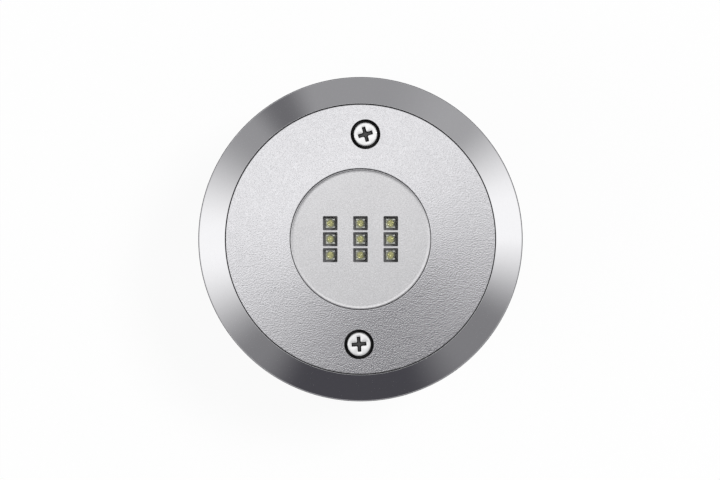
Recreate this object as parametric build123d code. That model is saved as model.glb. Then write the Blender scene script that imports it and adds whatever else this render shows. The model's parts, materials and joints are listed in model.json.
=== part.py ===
"""Round in-ground light: a polished bevel ring round a satin plate with nine small windows.

A black sleeve stands in the ground, open at its foot. The lamp drops into it: a finned housing that
holds the emitters under a windowed grid plate, the driver in a chamber below, and a rear cover with its
cable gland. The face plate clamps the trim ring and the grid plate down with two screws. +Z points up out
of the ground, +Y towards the upper screw, and the origin is the middle of the sleeve's foot. All sizes are
in millimetres.
"""

from build123d import *
from math import cos, radians, sin, sqrt, tan
import os

# Clearances and small edges shared by several pieces
cut_overrun = 1.0
face_gap = 0.35
slip_gap = 0.3
thread_gap = 0.08
edge_chamfer = 0.2

# Face of the lamp, from the middle outwards
dish_radius = 22.5
dish_wall = 1.0
dish_depth = 0.7
grid_rim_land = 0.1
grid_recess = 0.1
grid_thickness = 1.1
grid_flange = 3.4
grid_shoulder_height = 3.7
grid_skirt_land = 4.8
face_slope = 4.0
face_screw_land = 3.25
face_spigot_land = 0.2
bevel_width = 9.3
bevel_angle = 20.0
trim_edge_height = 1.6
trim_edge_round = 0.4
trim_lip_width = 4.55
trim_lip_thickness = 2.0
paving_lip_depth = 0.5
spigot_gap = 0.2
gap_bead_clearance = 0.05
trim_bead_height = 1.4
grid_bead_height = 0.6

# Nine windows and the emitters under them
window_columns = 3
window_rows = 3
window_width = 4.9
window_height = 4.7
window_column_gap = 5.35
window_rib = 0.7
window_corner = 0.3
window_chamfer = 0.22
package_side = 3.3
package_height = 0.8
dome_margin = 0.175
dome_height = 1.1
dome_gap = 0.3
chip_radius = 0.95
chip_height = 0.15

# Pane, gasket and emitter board
pane_thickness = 1.8
pane_seal_thickness = 0.3
pane_seal_width = 2.2
grid_gasket_thickness = 0.9
emitter_board_thickness = 1.6
thermal_pad_thickness = 0.4
emitter_board_rim = 2.7
emitter_pocket_gap = 0.5

# Cover screws, M4 pan heads with a cross recess
cover_screw_angles = (87.3, 269.2)
cover_screw_turns = (16.0, 4.6)
cover_screw_names = ("upper", "lower")
cover_head_radius = 4.0
cover_head_gap = 1.0
cover_head_height = 2.6
cover_head_round = 0.45
cover_head_sink = 0.35
cover_shank_radius = 1.95
cover_shank_length = 12.0
cover_thread_spare = 2.0
cross_span = 5.0
cross_arm = 1.2
cross_depth = 1.3
cross_point_radius = 0.95
cross_point_depth = 2.0
washer_gap = 0.15
washer_thickness = 0.7

# Housing with its fins, bosses and driver chamber
flange_bearing = 2.0
flange_thickness = 5.0
chamber_wall = 3.5
chamber_depth = 40.0
partition_thickness = 7.8
fin_count = 24
fin_thickness = 1.8
fin_depth = 8.5
fin_setback = 1.5
cover_boss_wall = 2.4

# Rear cover with its seal and screws
rear_cover_thickness = 4.5
rear_groove_land = 1.0
rear_groove_gap = 0.1
rear_seal_radius = 0.8
rear_screw_count = 4
rear_screw_land = 0.25
rear_edge_land = 0.9
rear_thread_land = 1.4
rear_head_radius = 2.75
rear_head_height = 3.0
rear_head_sink = 1.8
rear_socket_width = 2.5
rear_socket_depth = 1.5
rear_shank_radius = 1.45
rear_shank_length = 8.0
rear_hole_gap = 0.15
rear_boss_radius = 12.0
rear_boss_height = 3.0

# Cable gland, hanging in the middle of the rear cover
cable_radius = 3.5
gland_seal_wall = 3.5
gland_seat_gap = 0.2
gland_neck_wall = 1.3
gland_nut_wall = 1.2
gland_bore_gap = 1.5
gland_thread_wall = 2.95
gland_hex_height = 5.0
gland_washer_thickness = 1.0
gland_washer_width = 3.0
gland_neck_length = 9.0
gland_seat_depth = 6.0
gland_seal_proud = 2.4
gland_ring_thickness = 0.8
gland_ring_gap = 0.9
gland_mouth_gap = 0.8
gland_nut_floor = 1.6
gland_nut_gap = 1.2
gland_nut_round = 1.2
foot_clearance = 5.0

# Breather plug in the rear cover
vent_place_share = 0.745
vent_thread_radius = 3.4
vent_thread_length = 5.0
vent_head_width = 9.0
vent_head_height = 3.5
vent_slot_width = 1.0
vent_slot_depth = 1.2

# Sleeve in the ground
sleeve_clearance = 0.5
sleeve_wall = 3.0
collar_width = 3.5
collar_thickness = 4.0
collar_gap = 0.6
bedding_thickness = 1.0
bedding_inset = 0.5
conduit_notch_width = 22.0
conduit_notch_height = 25.0
drain_notch_width = 8.0
drain_notch_height = 6.0
sleeve_groove_depth = 0.8
sleeve_groove_width = 3.0
sleeve_groove_pitch = 7.0
sleeve_groove_count = 2
sleeve_groove_land = 6.0
foot_chamfer = 0.6

# Leaf springs that hold the lamp in the sleeve
spring_count = 3
spring_width = 7.0
spring_thickness = 0.5
spring_pad_margin = 0.5
spring_pad_height = 11.0
spring_pad_drop = 3.0
spring_pad_proud = 6.2
spring_bow_drop = 12.0
spring_tip_drop = 24.0
spring_tip_inset = 2.4
spring_wall_gap = 0.4
spring_bend_radius = 6.0
small_head_radius = 2.6
small_head_height = 1.6
small_shank_radius = 1.45
small_shank_length = 5.0

# Driver board and what it carries
driver_board_thickness = 1.6
driver_edge_gap = 2.0
standoff_height = 8.0
standoff_radius = 2.6
standoff_land = 5.0
standoff_angles = (20.0, 160.0, 235.0)
inductor_side = 12.0
inductor_height = 8.0
inductor_place_shares = (-0.42, 0.04)
inductor_round = 2.0
capacitor_radius = 5.0
capacitor_height = 16.0
capacitor_place_shares = ((0.29, 0.58), (-0.17, 0.64))
capacitor_round = 0.8
chip_pack_length = 6.0
chip_pack_width = 5.0
chip_pack_thickness = 1.6
chip_pack_place_shares = (0.06, 0.07)
chip_leg_count = 4
chip_leg_pitch = 1.27
chip_leg_width = 0.45
chip_leg_reach = 1.0
chip_leg_thickness = 0.25
rectifier_length = 8.0
rectifier_width = 6.5
rectifier_height = 2.6
rectifier_place_shares = (0.45, 0.08)
terminal_width = 8.5
terminal_height = 10.0
terminal_place_shares = (0.43, -0.45)
terminal_poles = 3
terminal_pitch = 5.0
terminal_entry_radius = 1.6
terminal_entry_depth = 6.0
terminal_entry_drop = 3.4
terminal_screw_radius = 1.7
terminal_well_gap = 0.2
terminal_screw_height = 1.4
terminal_screw_sink = 0.5
terminal_slot_width = 0.5
terminal_slot_depth = 0.7

# Leads between the two boards
lead_radius = 0.5
lead_hole_radius = 2.6
lead_hole_inset = 6.0
lead_spacing = 2.0
lead_pad_x = 4.6
lead_bend_radius = 1.2
lead_jog = 3.0
grommet_wall = 0.6
pad_radius = 1.1
pad_height = 0.05

# Small screws of the two boards
board_screw_inset = 2.5
board_screw_angles = (90.0, 230.0, 310.0)
board_screw_head_radius = 2.1
board_screw_head_height = 1.1
board_screw_shank_radius = 1.15
board_screw_shank_length = 5.0

# Radii that follow from the sizes above
grid_radius = dish_radius + dish_wall + grid_rim_land
face_opening = grid_radius + face_gap
grid_flange_radius = grid_radius + grid_flange
face_pocket_radius = grid_flange_radius + slip_gap
counterbore_radius = cover_head_radius + cover_head_gap
cover_hole_radius = cover_shank_radius + slip_gap
washer_radius = counterbore_radius - washer_gap
cover_screw_circle = face_pocket_radius + face_screw_land + counterbore_radius
spigot_radius = cover_screw_circle + counterbore_radius + face_spigot_land
trim_lip_radius = spigot_radius + slip_gap
face_radius = trim_lip_radius + trim_lip_width
trim_bore = face_radius + face_gap
trim_radius = trim_bore + bevel_width
flange_radius = trim_lip_radius + flange_bearing
sleeve_bore = flange_radius + sleeve_clearance
sleeve_radius = sleeve_bore + sleeve_wall
collar_radius = sleeve_radius + collar_width
paving_lip_radius = collar_radius + collar_gap
grid_pocket_radius = grid_flange_radius - grid_skirt_land
pane_radius = grid_pocket_radius - slip_gap
emitter_board_radius = grid_pocket_radius - emitter_board_rim
emitter_pocket_radius = emitter_board_radius + emitter_pocket_gap
board_screw_circle = emitter_board_radius - board_screw_inset
lead_hole_y = lead_hole_inset - emitter_board_radius
dome_radius = package_side / 2 - dome_margin
window_pitch_x = window_width + window_column_gap
window_pitch_y = window_height + window_rib
fin_radius = flange_radius - fin_setback
core_radius = fin_radius - fin_depth
chamber_radius = core_radius - chamber_wall
rear_groove_width = 2 * (rear_seal_radius + rear_groove_gap)
rear_groove_radius = chamber_radius + rear_groove_land + rear_groove_width / 2
rear_hole_radius = rear_shank_radius + rear_hole_gap
rear_well_radius = rear_head_radius + slip_gap
rear_screw_circle = rear_groove_radius + rear_groove_width / 2 + rear_screw_land + rear_well_radius
rear_radius = rear_screw_circle + rear_well_radius + rear_edge_land
rear_thread_depth = rear_head_sink + rear_shank_length + slip_gap - rear_cover_thickness
rear_flange_thickness = rear_thread_depth + rear_thread_land
vent_offset = vent_place_share * chamber_radius
gland_seal_radius = cable_radius + gland_seal_wall
gland_seat_radius = gland_seal_radius + gland_seat_gap
gland_neck_radius = gland_seat_radius + gland_neck_wall
gland_hex_width = 2 * (gland_neck_radius + slip_gap + gland_nut_wall)
gland_bore_radius = cable_radius + gland_bore_gap
gland_thread_radius = gland_bore_radius + gland_thread_wall
gland_washer_radius = gland_thread_radius + gland_washer_width
gland_ring_bore = cable_radius + gland_ring_gap
gland_nut_mouth = cable_radius + gland_mouth_gap
sleeve_groove_start = conduit_notch_height + sleeve_groove_land
spring_pad_width = spring_width + 2 * spring_pad_margin
driver_board_radius = chamber_radius - driver_edge_gap
standoff_circle = driver_board_radius - standoff_land
terminal_length = terminal_poles * terminal_pitch
terminal_well_radius = terminal_screw_radius + terminal_well_gap

# Heights below the seat where the trim ring lies on the housing, which is height zero in this block
bevel_rise = bevel_width * tan(radians(bevel_angle))
trim_top_up = trim_edge_height + bevel_rise
face_rise = (face_radius - face_opening) * tan(radians(face_slope))
grid_top_up = trim_top_up + face_rise - grid_recess
dish_floor_up = grid_top_up - dish_depth
pane_ceiling_up = dish_floor_up - grid_thickness
pane_top_up = pane_ceiling_up - pane_seal_thickness
pane_bottom_up = pane_top_up - pane_thickness
package_top_up = pane_bottom_up - dome_gap - dome_height
emitter_board_top_up = package_top_up - package_height
thermal_pad_up = emitter_board_top_up - emitter_board_thickness - thermal_pad_thickness

# Heights above the sleeve's foot
gland_ring_low = foot_clearance + gland_nut_floor
gland_seal_low = gland_ring_low + gland_ring_thickness
gland_neck_low = gland_seal_low + gland_seal_proud
gland_hex_low = gland_neck_low + gland_neck_length
gland_washer_low = gland_hex_low + gland_hex_height
rear_low = gland_washer_low + gland_washer_thickness
rear_top = rear_low + rear_cover_thickness
chamber_top = rear_top + chamber_depth
thermal_pad_low = chamber_top + partition_thickness
seat = thermal_pad_low - thermal_pad_up
trim_top = seat + trim_top_up
grid_top = seat + grid_top_up
dish_floor = seat + dish_floor_up
pane_ceiling = seat + pane_ceiling_up
pane_top = seat + pane_top_up
pane_bottom = seat + pane_bottom_up
package_top = seat + package_top_up
emitter_board_top = seat + emitter_board_top_up
emitter_board_low = emitter_board_top - emitter_board_thickness
grid_skirt_low = seat + grid_gasket_thickness
grid_shoulder = grid_skirt_low + grid_shoulder_height
paving = seat - paving_lip_depth
sleeve_top = seat - bedding_thickness
driver_board_top = chamber_top - standoff_height
driver_board_low = driver_board_top - driver_board_thickness


def on_board(shares):
    """A place under the driver board, from shares of the board's radius."""
    return shares[0] * driver_board_radius, shares[1] * driver_board_radius


def up(x, y, z):
    """A place for a shape that stands on height z."""
    return Pos(x, y, z)


def rod(radius, low, high, x=0, y=0):
    """A round bar between two heights."""
    return up(x, y, low) * Cylinder(radius, high - low, align=(Align.CENTER, Align.CENTER, Align.MIN))


def tube(bore, radius, low, high, x=0, y=0):
    """A round bar with a bore right through it."""
    return rod(radius, low, high, x, y) - rod(bore, low - cut_overrun, high + cut_overrun, x, y)


def block(length, width, low, high, x=0, y=0):
    """A square-edged block between two heights."""
    return up(x, y, low) * Box(length, width, high - low, align=(Align.CENTER, Align.CENTER, Align.MIN))


def hexagon(width, low, high, x=0, y=0):
    """A hexagon bar, measured across its flats."""
    flats = RegularPolygon(width / 2, 6, major_radius=False)
    return up(x, y, low) * extrude(flats, high - low)


def turned(points):
    """A solid turned about the Z axis from an outline of radius and height."""
    outline = Polyline([(radius, 0, height) for radius, height in points], close=True)
    return revolve(make_face(outline), Axis.Z)


def on_circle(radius, angle):
    """A point on a circle round the Z axis."""
    return radius * cos(radians(angle)), radius * sin(radians(angle))


def face_height(radius):
    """Height of the face plate's sloping top at a radius."""
    return trim_top + (face_radius - radius) * tan(radians(face_slope))


def window_places():
    """Middle of each window, row by row."""
    return [
        ((column - (window_columns - 1) / 2) * window_pitch_x, (row - (window_rows - 1) / 2) * window_pitch_y)
        for row in range(window_rows)
        for column in range(window_columns)
    ]


def group(pieces):
    """Several separate solids kept as one node."""
    return Compound(children=[solid for piece in pieces for solid in piece.solids()])


def save(name, shape):
    """Writes one node."""
    export_step(shape, f"parts/{name}.step")


# Face of the lamp


def trim_ring():
    """Steel ring with a polished bevel outside and a lip under the face plate."""
    bevel_slope = tan(radians(bevel_angle))
    edge_top = seat + trim_edge_height
    return turned(
        [
            (trim_lip_radius, seat),
            (paving_lip_radius, seat),
            (paving_lip_radius, paving),
            (trim_radius, paving),
            (trim_radius, edge_top - trim_edge_round),
            (trim_radius - trim_edge_round, edge_top + trim_edge_round * bevel_slope),
            (trim_bore + edge_chamfer, trim_top - edge_chamfer * bevel_slope),
            (trim_bore, trim_top - edge_chamfer),
            (trim_bore, seat + trim_lip_thickness),
            (trim_lip_radius, seat + trim_lip_thickness),
        ]
    )


def cover_screw_seat():
    """Height of the counterbore's floor, which puts the head's top just under the sloping face."""
    head_top = face_height(cover_screw_circle) - cover_head_sink
    return head_top - cover_head_height - washer_thickness


def face_plate():
    """Shallow cone with a round opening, two counterbores and a spigot inside the trim ring's lip."""
    plate = turned(
        [
            (face_pocket_radius, seat + spigot_gap),
            (spigot_radius, seat + spigot_gap),
            (spigot_radius, seat + trim_lip_thickness),
            (face_radius, seat + trim_lip_thickness),
            (face_radius, trim_top - edge_chamfer),
            (face_radius - edge_chamfer, face_height(face_radius - edge_chamfer)),
            (face_opening + edge_chamfer, face_height(face_opening + edge_chamfer)),
            (face_opening, face_height(face_opening) - edge_chamfer),
            (face_opening, grid_shoulder),
            (face_pocket_radius, grid_shoulder),
        ]
    )
    for angle in cover_screw_angles:
        x, y = on_circle(cover_screw_circle, angle)
        mouth = face_height(cover_screw_circle)
        plate -= rod(cover_hole_radius, seat - cut_overrun, mouth, x, y)
        plate -= rod(counterbore_radius, cover_screw_seat(), mouth + cut_overrun, x, y)
        flare = Cone(
            counterbore_radius - cut_overrun,
            counterbore_radius + edge_chamfer + cut_overrun,
            edge_chamfer + 2 * cut_overrun,
            align=(Align.CENTER, Align.CENTER, Align.MIN),
        )
        square_to_slope = up(x, y, mouth) * Rot(0, 0, angle) * Rot(0, face_slope, 0)
        plate -= square_to_slope * up(0, 0, -edge_chamfer - cut_overrun) * flare
    return plate


def trim_bead():
    """Black bead on the trim ring's lip, in the foot of the gap round the face plate."""
    low = seat + trim_lip_thickness
    bore = face_radius + gap_bead_clearance
    return tube(bore, trim_bore - gap_bead_clearance, low, low + trim_bead_height)


def grid_bead():
    """Black bead on the grid plate's flange, in the foot of the gap inside the face plate."""
    bore = grid_radius + gap_bead_clearance
    return tube(bore, face_opening - gap_bead_clearance, grid_shoulder, grid_shoulder + grid_bead_height)


def window_cutter(width, height, corner, low, high, x, y):
    """A bar with rounded corners that cuts one window."""
    return up(x, y, low) * extrude(RectangleRounded(width, height, corner), high - low)


def grid_plate():
    """Dished disc with nine windows, held by a flange under the face plate and hollow below for the pane."""
    plate = turned(
        [
            (0, pane_ceiling),
            (grid_pocket_radius, pane_ceiling),
            (grid_pocket_radius, grid_skirt_low),
            (grid_flange_radius, grid_skirt_low),
            (grid_flange_radius, grid_shoulder),
            (grid_radius, grid_shoulder),
            (grid_radius, grid_top),
            (dish_radius + dish_wall, grid_top),
            (dish_radius, dish_floor),
            (0, dish_floor),
        ]
    )
    for x, y in window_places():
        plate -= window_cutter(
            window_width,
            window_height,
            window_corner,
            pane_ceiling - cut_overrun,
            dish_floor + cut_overrun,
            x,
            y,
        )
        grown = 2 * window_chamfer
        inner = RectangleRounded(window_width, window_height, window_corner)
        outer = RectangleRounded(window_width + 2 * grown, window_height + 2 * grown, window_corner + grown)
        low_face = up(x, y, dish_floor - window_chamfer) * inner
        high_face = up(x, y, dish_floor + window_chamfer) * outer
        plate -= loft([low_face, high_face])
    return plate


def window_pane():
    """Toughened glass disc in the grid plate's hollow."""
    return rod(pane_radius, pane_bottom, pane_top)


def pane_seal():
    """Silicone ring that bonds the pane to the grid plate."""
    return tube(pane_radius - pane_seal_width, pane_radius, pane_top, pane_ceiling)


def grid_gasket():
    """Flat silicone ring between the grid plate's skirt and the housing."""
    return tube(grid_pocket_radius, grid_flange_radius, seat, grid_skirt_low)


# Emitters and their board


def led_packages():
    """Nine square ceramic packages."""
    return group(
        [block(package_side, package_side, emitter_board_top, package_top, x, y) for x, y in window_places()]
    )


def led_chips():
    """Nine round phosphor faces on their packages."""
    return group([rod(chip_radius, package_top, package_top + chip_height, x, y) for x, y in window_places()])


def led_domes():
    """Nine clear domes over the phosphor faces."""
    ball_radius = (dome_radius**2 + dome_height**2) / (2 * dome_height)
    domes = []
    for x, y in window_places():
        ball = up(x, y, package_top + dome_height - ball_radius) * Sphere(ball_radius)
        dome = ball & rod(ball_radius, package_top, package_top + dome_height + cut_overrun, x, y)
        domes.append(dome - rod(chip_radius, package_top - cut_overrun, package_top + chip_height, x, y))
    return group(domes)


def emitter_board():
    """Round metal-core board, with holes for its screws and for the leads."""
    board = rod(emitter_board_radius, emitter_board_low, emitter_board_top)
    return board - emitter_holes(emitter_board_low, emitter_board_top)


def emitter_holes(low, high):
    """The screws' holes and the leads' hole, through a layer between two heights."""
    holes = [rod(lead_hole_radius, low - cut_overrun, high + cut_overrun, 0, lead_hole_y)]
    for x, y in board_screw_places():
        holes.append(rod(board_screw_shank_radius + slip_gap, low - cut_overrun, high + cut_overrun, x, y))
    return holes


def board_screw_places():
    """Middle of each screw that holds the emitter board."""
    return [on_circle(board_screw_circle, angle) for angle in board_screw_angles]


def thermal_pad():
    """Thin pad that carries the board's heat into the housing."""
    pad = rod(emitter_board_radius, thermal_pad_low, emitter_board_low)
    return pad - emitter_holes(thermal_pad_low, emitter_board_low)


def plain_screw(head_radius, head_height, shank_radius, shank_length):
    """A low round-headed screw with a cross recess, its head standing on height zero."""
    screw = rod(head_radius, 0, head_height) + rod(shank_radius, -shank_length, 0)
    screw = fillet(screw.edges().group_by(Axis.Z)[-1], head_height / 2)
    for turn in (0, 90):
        screw -= Rot(0, 0, turn) * block(
            head_radius * cross_span / cover_head_radius,
            head_radius * cross_arm / cover_head_radius,
            head_height / 2,
            head_height + cut_overrun,
        )
    return screw


def emitter_board_screws():
    """Three screws through the emitter board into the housing."""
    screw = plain_screw(
        board_screw_head_radius, board_screw_head_height, board_screw_shank_radius, board_screw_shank_length
    )
    return group([up(x, y, emitter_board_top) * screw for x, y in board_screw_places()])


# Housing


def cover_boss_places():
    """Middle of each cover screw."""
    return [on_circle(cover_screw_circle, angle) for angle in cover_screw_angles]


def cover_hole_low():
    """Height of the floor of each threaded hole for a cover screw."""
    return cover_screw_seat() + washer_thickness - cover_shank_length - cover_thread_spare


def rear_screw_places():
    """Middle of each rear cover screw."""
    first = 360 / rear_screw_count / 2
    return [on_circle(rear_screw_circle, first + k * 360 / rear_screw_count) for k in range(rear_screw_count)]


def standoff_places():
    """Middle of each standoff under the partition."""
    return [on_circle(standoff_circle, angle) for angle in standoff_angles]


def housing():
    """Die-cast housing: top flange, finned core, partition under the emitters and driver chamber below."""
    fins_low = rear_top + rear_flange_thickness
    flange_low = seat - flange_thickness
    body = rod(core_radius, rear_top, seat)
    body += rod(flange_radius, flange_low, seat)
    body += rod(rear_radius, rear_top, fins_low)
    fin_length = fin_radius - core_radius + chamber_wall / 2
    for k in range(fin_count):
        turn = (k + 1 / 2) * 360 / fin_count
        fin = block(fin_length, fin_thickness, fins_low, flange_low, fin_radius - fin_length / 2)
        body += Rot(0, 0, turn) * fin
    hole_low = cover_hole_low()
    boss_radius = cover_shank_radius + thread_gap + cover_boss_wall
    for x, y in cover_boss_places():
        body += rod(boss_radius, hole_low - cover_boss_wall, flange_low, x, y)
    pad_length = spring_pad_proud + chamber_wall / 2
    for k in range(spring_count):
        pad = block(
            pad_length,
            spring_pad_width,
            spring_pad_top() - spring_pad_height,
            spring_pad_top(),
            spring_pad_face() - pad_length / 2,
        )
        body += Rot(0, 0, k * 360 / spring_count) * pad
    body -= rod(chamber_radius, rear_top - cut_overrun, chamber_top)
    body -= rod(emitter_pocket_radius, thermal_pad_low, seat + cut_overrun)
    body -= rod(lead_hole_radius + grommet_wall, chamber_top - cut_overrun, seat, 0, lead_hole_y)
    for x, y in cover_boss_places():
        body -= rod(cover_shank_radius + thread_gap, hole_low, seat + cut_overrun, x, y)
    for x, y in board_screw_places():
        body -= rod(
            board_screw_shank_radius + thread_gap,
            emitter_board_top - board_screw_shank_length - slip_gap,
            seat,
            x,
            y,
        )
    for x, y in rear_screw_places():
        body -= rod(
            rear_shank_radius + thread_gap,
            rear_top - cut_overrun,
            rear_top + rear_thread_depth,
            x,
            y,
        )
    for x, y in standoff_places():
        body -= rod(small_shank_radius + thread_gap, chamber_top - cut_overrun, standoff_stud_top(), x, y)
    for k in range(spring_count):
        hole = Rot(0, 90, 0) * rod(
            small_shank_radius + thread_gap,
            spring_pad_face() - small_shank_length,
            spring_pad_face() + cut_overrun,
        )
        body -= Rot(0, 0, k * 360 / spring_count) * up(0, 0, spring_screw_height()) * hole
    return body


def lead_grommet():
    """Rubber tube that lines the leads' hole in the partition."""
    grommet_radius = lead_hole_radius + grommet_wall
    return tube(lead_hole_radius, grommet_radius, chamber_top, thermal_pad_low, 0, lead_hole_y)


# Rear cover


def rear_cover():
    """Round cover with a seal groove, a boss for the gland and a seat for the breather plug."""
    cover = rod(rear_radius, rear_low, rear_top)
    cover += rod(rear_boss_radius, rear_top, rear_top + rear_boss_height)
    groove_low = rear_top - 2 * rear_seal_radius
    cover -= tube(
        rear_groove_radius - rear_groove_width / 2,
        rear_groove_radius + rear_groove_width / 2,
        groove_low,
        rear_top + cut_overrun,
    )
    cover -= rod(
        gland_thread_radius + thread_gap, rear_low - cut_overrun, rear_top + rear_boss_height + cut_overrun
    )
    cover -= rod(
        vent_thread_radius + thread_gap, rear_low - cut_overrun, rear_top + cut_overrun, 0, vent_offset
    )
    for x, y in rear_screw_places():
        cover -= rod(rear_hole_radius, rear_low - cut_overrun, rear_top + cut_overrun, x, y)
        cover -= rod(rear_well_radius, rear_low - cut_overrun, rear_low + rear_head_sink, x, y)
    rim = cover.edges().filter_by(GeomType.CIRCLE).group_by(Axis.Z)[0].sort_by(SortBy.RADIUS)[-1:]
    return chamfer(rim, edge_chamfer)


def rear_seal():
    """Round-section seal ring in the rear cover's groove."""
    middle = rear_top - rear_seal_radius
    section = Pos(rear_groove_radius, 0, middle) * Rot(90, 0, 0) * Circle(rear_seal_radius)
    return revolve(section, Axis.Z)


def rear_screws():
    """Socket-head screws that hold the rear cover."""
    floor = rear_low + rear_head_sink
    screws = []
    for x, y in rear_screw_places():
        screw = rod(rear_head_radius, floor - rear_head_height, floor, x, y)
        screw += rod(rear_shank_radius, floor, floor + rear_shank_length, x, y)
        screw -= hexagon(
            rear_socket_width,
            floor - rear_head_height - cut_overrun,
            floor - rear_head_height + rear_socket_depth,
            x,
            y,
        )
        screws.append(screw)
    return group(screws)


# Cable gland and breather


def gland_body():
    """Hexagon body with a thread into the cover above and a neck for the nut below."""
    body = hexagon(gland_hex_width, gland_hex_low, gland_washer_low)
    body += rod(gland_thread_radius, gland_washer_low, rear_top + rear_boss_height)
    body += rod(gland_neck_radius, gland_neck_low, gland_hex_low)
    body -= rod(gland_bore_radius, gland_neck_low - cut_overrun, rear_top + rear_boss_height + cut_overrun)
    body -= rod(gland_seat_radius, gland_neck_low - cut_overrun, gland_neck_low + gland_seat_depth)
    return body


def gland_washer():
    """Flat seal between the gland's hexagon and the rear cover."""
    return tube(gland_thread_radius + thread_gap, gland_washer_radius, gland_washer_low, rear_low)


def gland_seal():
    """Rubber sleeve that closes round the cable, part in the neck and part in the nut."""
    return tube(cable_radius, gland_seal_radius, gland_seal_low, gland_neck_low + gland_seat_depth)


def gland_slip_ring():
    """Ring between the nut and the rubber sleeve, which travels with the nut and doesn't turn."""
    return tube(gland_ring_bore, gland_seal_radius, gland_ring_low, gland_seal_low)


def gland_nut():
    """Domed hexagon nut that squeezes the rubber sleeve round the cable."""
    top = gland_hex_low - gland_nut_gap
    nut = hexagon(gland_hex_width, foot_clearance, top)
    corner_radius = gland_hex_width / sqrt(3)
    dome = Cone(
        corner_radius - gland_nut_round * 2,
        corner_radius,
        gland_nut_round * 2,
        align=(Align.CENTER, Align.CENTER, Align.MIN),
    )
    dome_high = foot_clearance + 2 * gland_nut_round
    nut &= up(0, 0, foot_clearance) * dome + rod(corner_radius, dome_high, top)
    nut -= rod(gland_nut_mouth, foot_clearance - cut_overrun, gland_ring_low + cut_overrun)
    nut -= rod(gland_neck_radius + slip_gap, gland_ring_low, top + cut_overrun)
    return nut


def vent_plug():
    """Small slotted breather plug."""
    plug = rod(vent_head_width / 2, rear_low - vent_head_height, rear_low, 0, vent_offset)
    plug += rod(vent_thread_radius, rear_low, rear_low + vent_thread_length, 0, vent_offset)
    plug -= block(
        vent_head_width + cut_overrun,
        vent_slot_width,
        rear_low - vent_head_height - cut_overrun,
        rear_low - vent_head_height + vent_slot_depth,
        0,
        vent_offset,
    )
    return plug


# Cover screws


def cross_recess(top):
    """Cutter for a cross recess with a deeper point in its middle."""
    arm = block(cross_span, cross_arm, top - cross_depth, top + cut_overrun)
    point = Cone(
        cross_arm / 2, cross_point_radius, cross_point_depth, align=(Align.CENTER, Align.CENTER, Align.MAX)
    )
    return arm + Rot(0, 0, 90) * arm + up(0, 0, top) * point + rod(cross_point_radius, top, top + cut_overrun)


def cover_screw(angle, turn):
    """Pan-head screw in the face plate's counterbore, and the housing's thread below."""
    x, y = on_circle(cover_screw_circle, angle)
    head_low = cover_screw_seat() + washer_thickness
    head = rod(cover_head_radius, head_low, head_low + cover_head_height)
    head = fillet(head.edges().group_by(Axis.Z)[-1], cover_head_round)
    shank = rod(cover_shank_radius, head_low - cover_shank_length, head_low)
    shank = chamfer(shank.edges().group_by(Axis.Z)[0], edge_chamfer)
    screw = head + shank - cross_recess(head_low + cover_head_height)
    return up(x, y, 0) * Rot(0, 0, turn) * screw


def cover_washer(angle):
    """Rubber washer under a cover screw's head, which rises with the screw and doesn't turn."""
    x, y = on_circle(cover_screw_circle, angle)
    floor = cover_screw_seat()
    return tube(cover_shank_radius + thread_gap, washer_radius, floor, floor + washer_thickness, x, y)


# Sleeve and leaf springs


def sleeve():
    """Black sleeve with a collar at its top, keying grooves, two conduit notches and two drain notches."""
    body = tube(sleeve_bore, sleeve_radius, 0, sleeve_top)
    body += tube(sleeve_bore, collar_radius, sleeve_top - collar_thickness, sleeve_top)
    for k in range(sleeve_groove_count):
        low = sleeve_groove_start + k * sleeve_groove_pitch
        body -= tube(
            sleeve_radius - sleeve_groove_depth, sleeve_radius + cut_overrun, low, low + sleeve_groove_width
        )
    reach = 2 * (sleeve_radius + cut_overrun)
    body -= notch(conduit_notch_width, conduit_notch_height, reach)
    body -= Rot(0, 0, 90) * notch(drain_notch_width, drain_notch_height, reach)
    foot = body.edges().filter_by(GeomType.CIRCLE).group_by(Axis.Z)[0]
    return chamfer(foot, foot_chamfer)


def notch(width, height, reach):
    """A bar along X with a half-round top, which cuts two facing notches in the foot."""
    bar = block(reach, width, -cut_overrun, height - width / 2)
    bar += up(0, 0, height - width / 2) * Rot(0, 90, 0) * Cylinder(width / 2, reach)
    return bar


def bedding_gasket():
    """Foam ring between the trim ring and the sleeve's collar."""
    return tube(sleeve_bore + bedding_inset, collar_radius - bedding_inset, sleeve_top, seat)


def spring_pad_top():
    """Height of the top of each pad that a leaf spring is screwed to."""
    return seat - flange_thickness - spring_pad_drop


def spring_pad_face():
    """Radius of each spring pad's flat face."""
    return core_radius + spring_pad_proud


def spring_screw_height():
    """Height of each spring's screw."""
    return spring_pad_top() - spring_pad_height / 2


def retaining_springs():
    """Bowed leaf springs that press on the sleeve's wall."""
    back = spring_pad_face() + spring_thickness / 2
    bow = sleeve_bore - spring_wall_gap - spring_thickness / 2
    pad_low = spring_pad_top() - spring_pad_height
    path = FilletPolyline(
        [
            (back, 0, spring_pad_top()),
            (back, 0, pad_low),
            (bow, 0, pad_low - spring_bow_drop),
            (bow - spring_tip_inset, 0, pad_low - spring_tip_drop),
        ],
        radius=spring_bend_radius,
    )
    start = Plane(origin=path @ 0, z_dir=path % 0, x_dir=(0, 1, 0))
    leaf = sweep(start * Rectangle(spring_width, spring_thickness), path=path)
    hole = Rot(0, 90, 0) * rod(small_shank_radius + slip_gap, 0, sleeve_radius)
    leaf -= up(0, 0, spring_screw_height()) * hole
    return group([Rot(0, 0, k * 360 / spring_count) * leaf for k in range(spring_count)])


def spring_screws():
    """Screws that hold the leaf springs to their pads."""
    reach = small_shank_length - slip_gap
    screw = plain_screw(small_head_radius, small_head_height, small_shank_radius, reach)
    placed = up(spring_pad_face() + spring_thickness, 0, spring_screw_height()) * Rot(0, 90, 0) * screw
    return group([Rot(0, 0, k * 360 / spring_count) * placed for k in range(spring_count)])


# Driver


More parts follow.
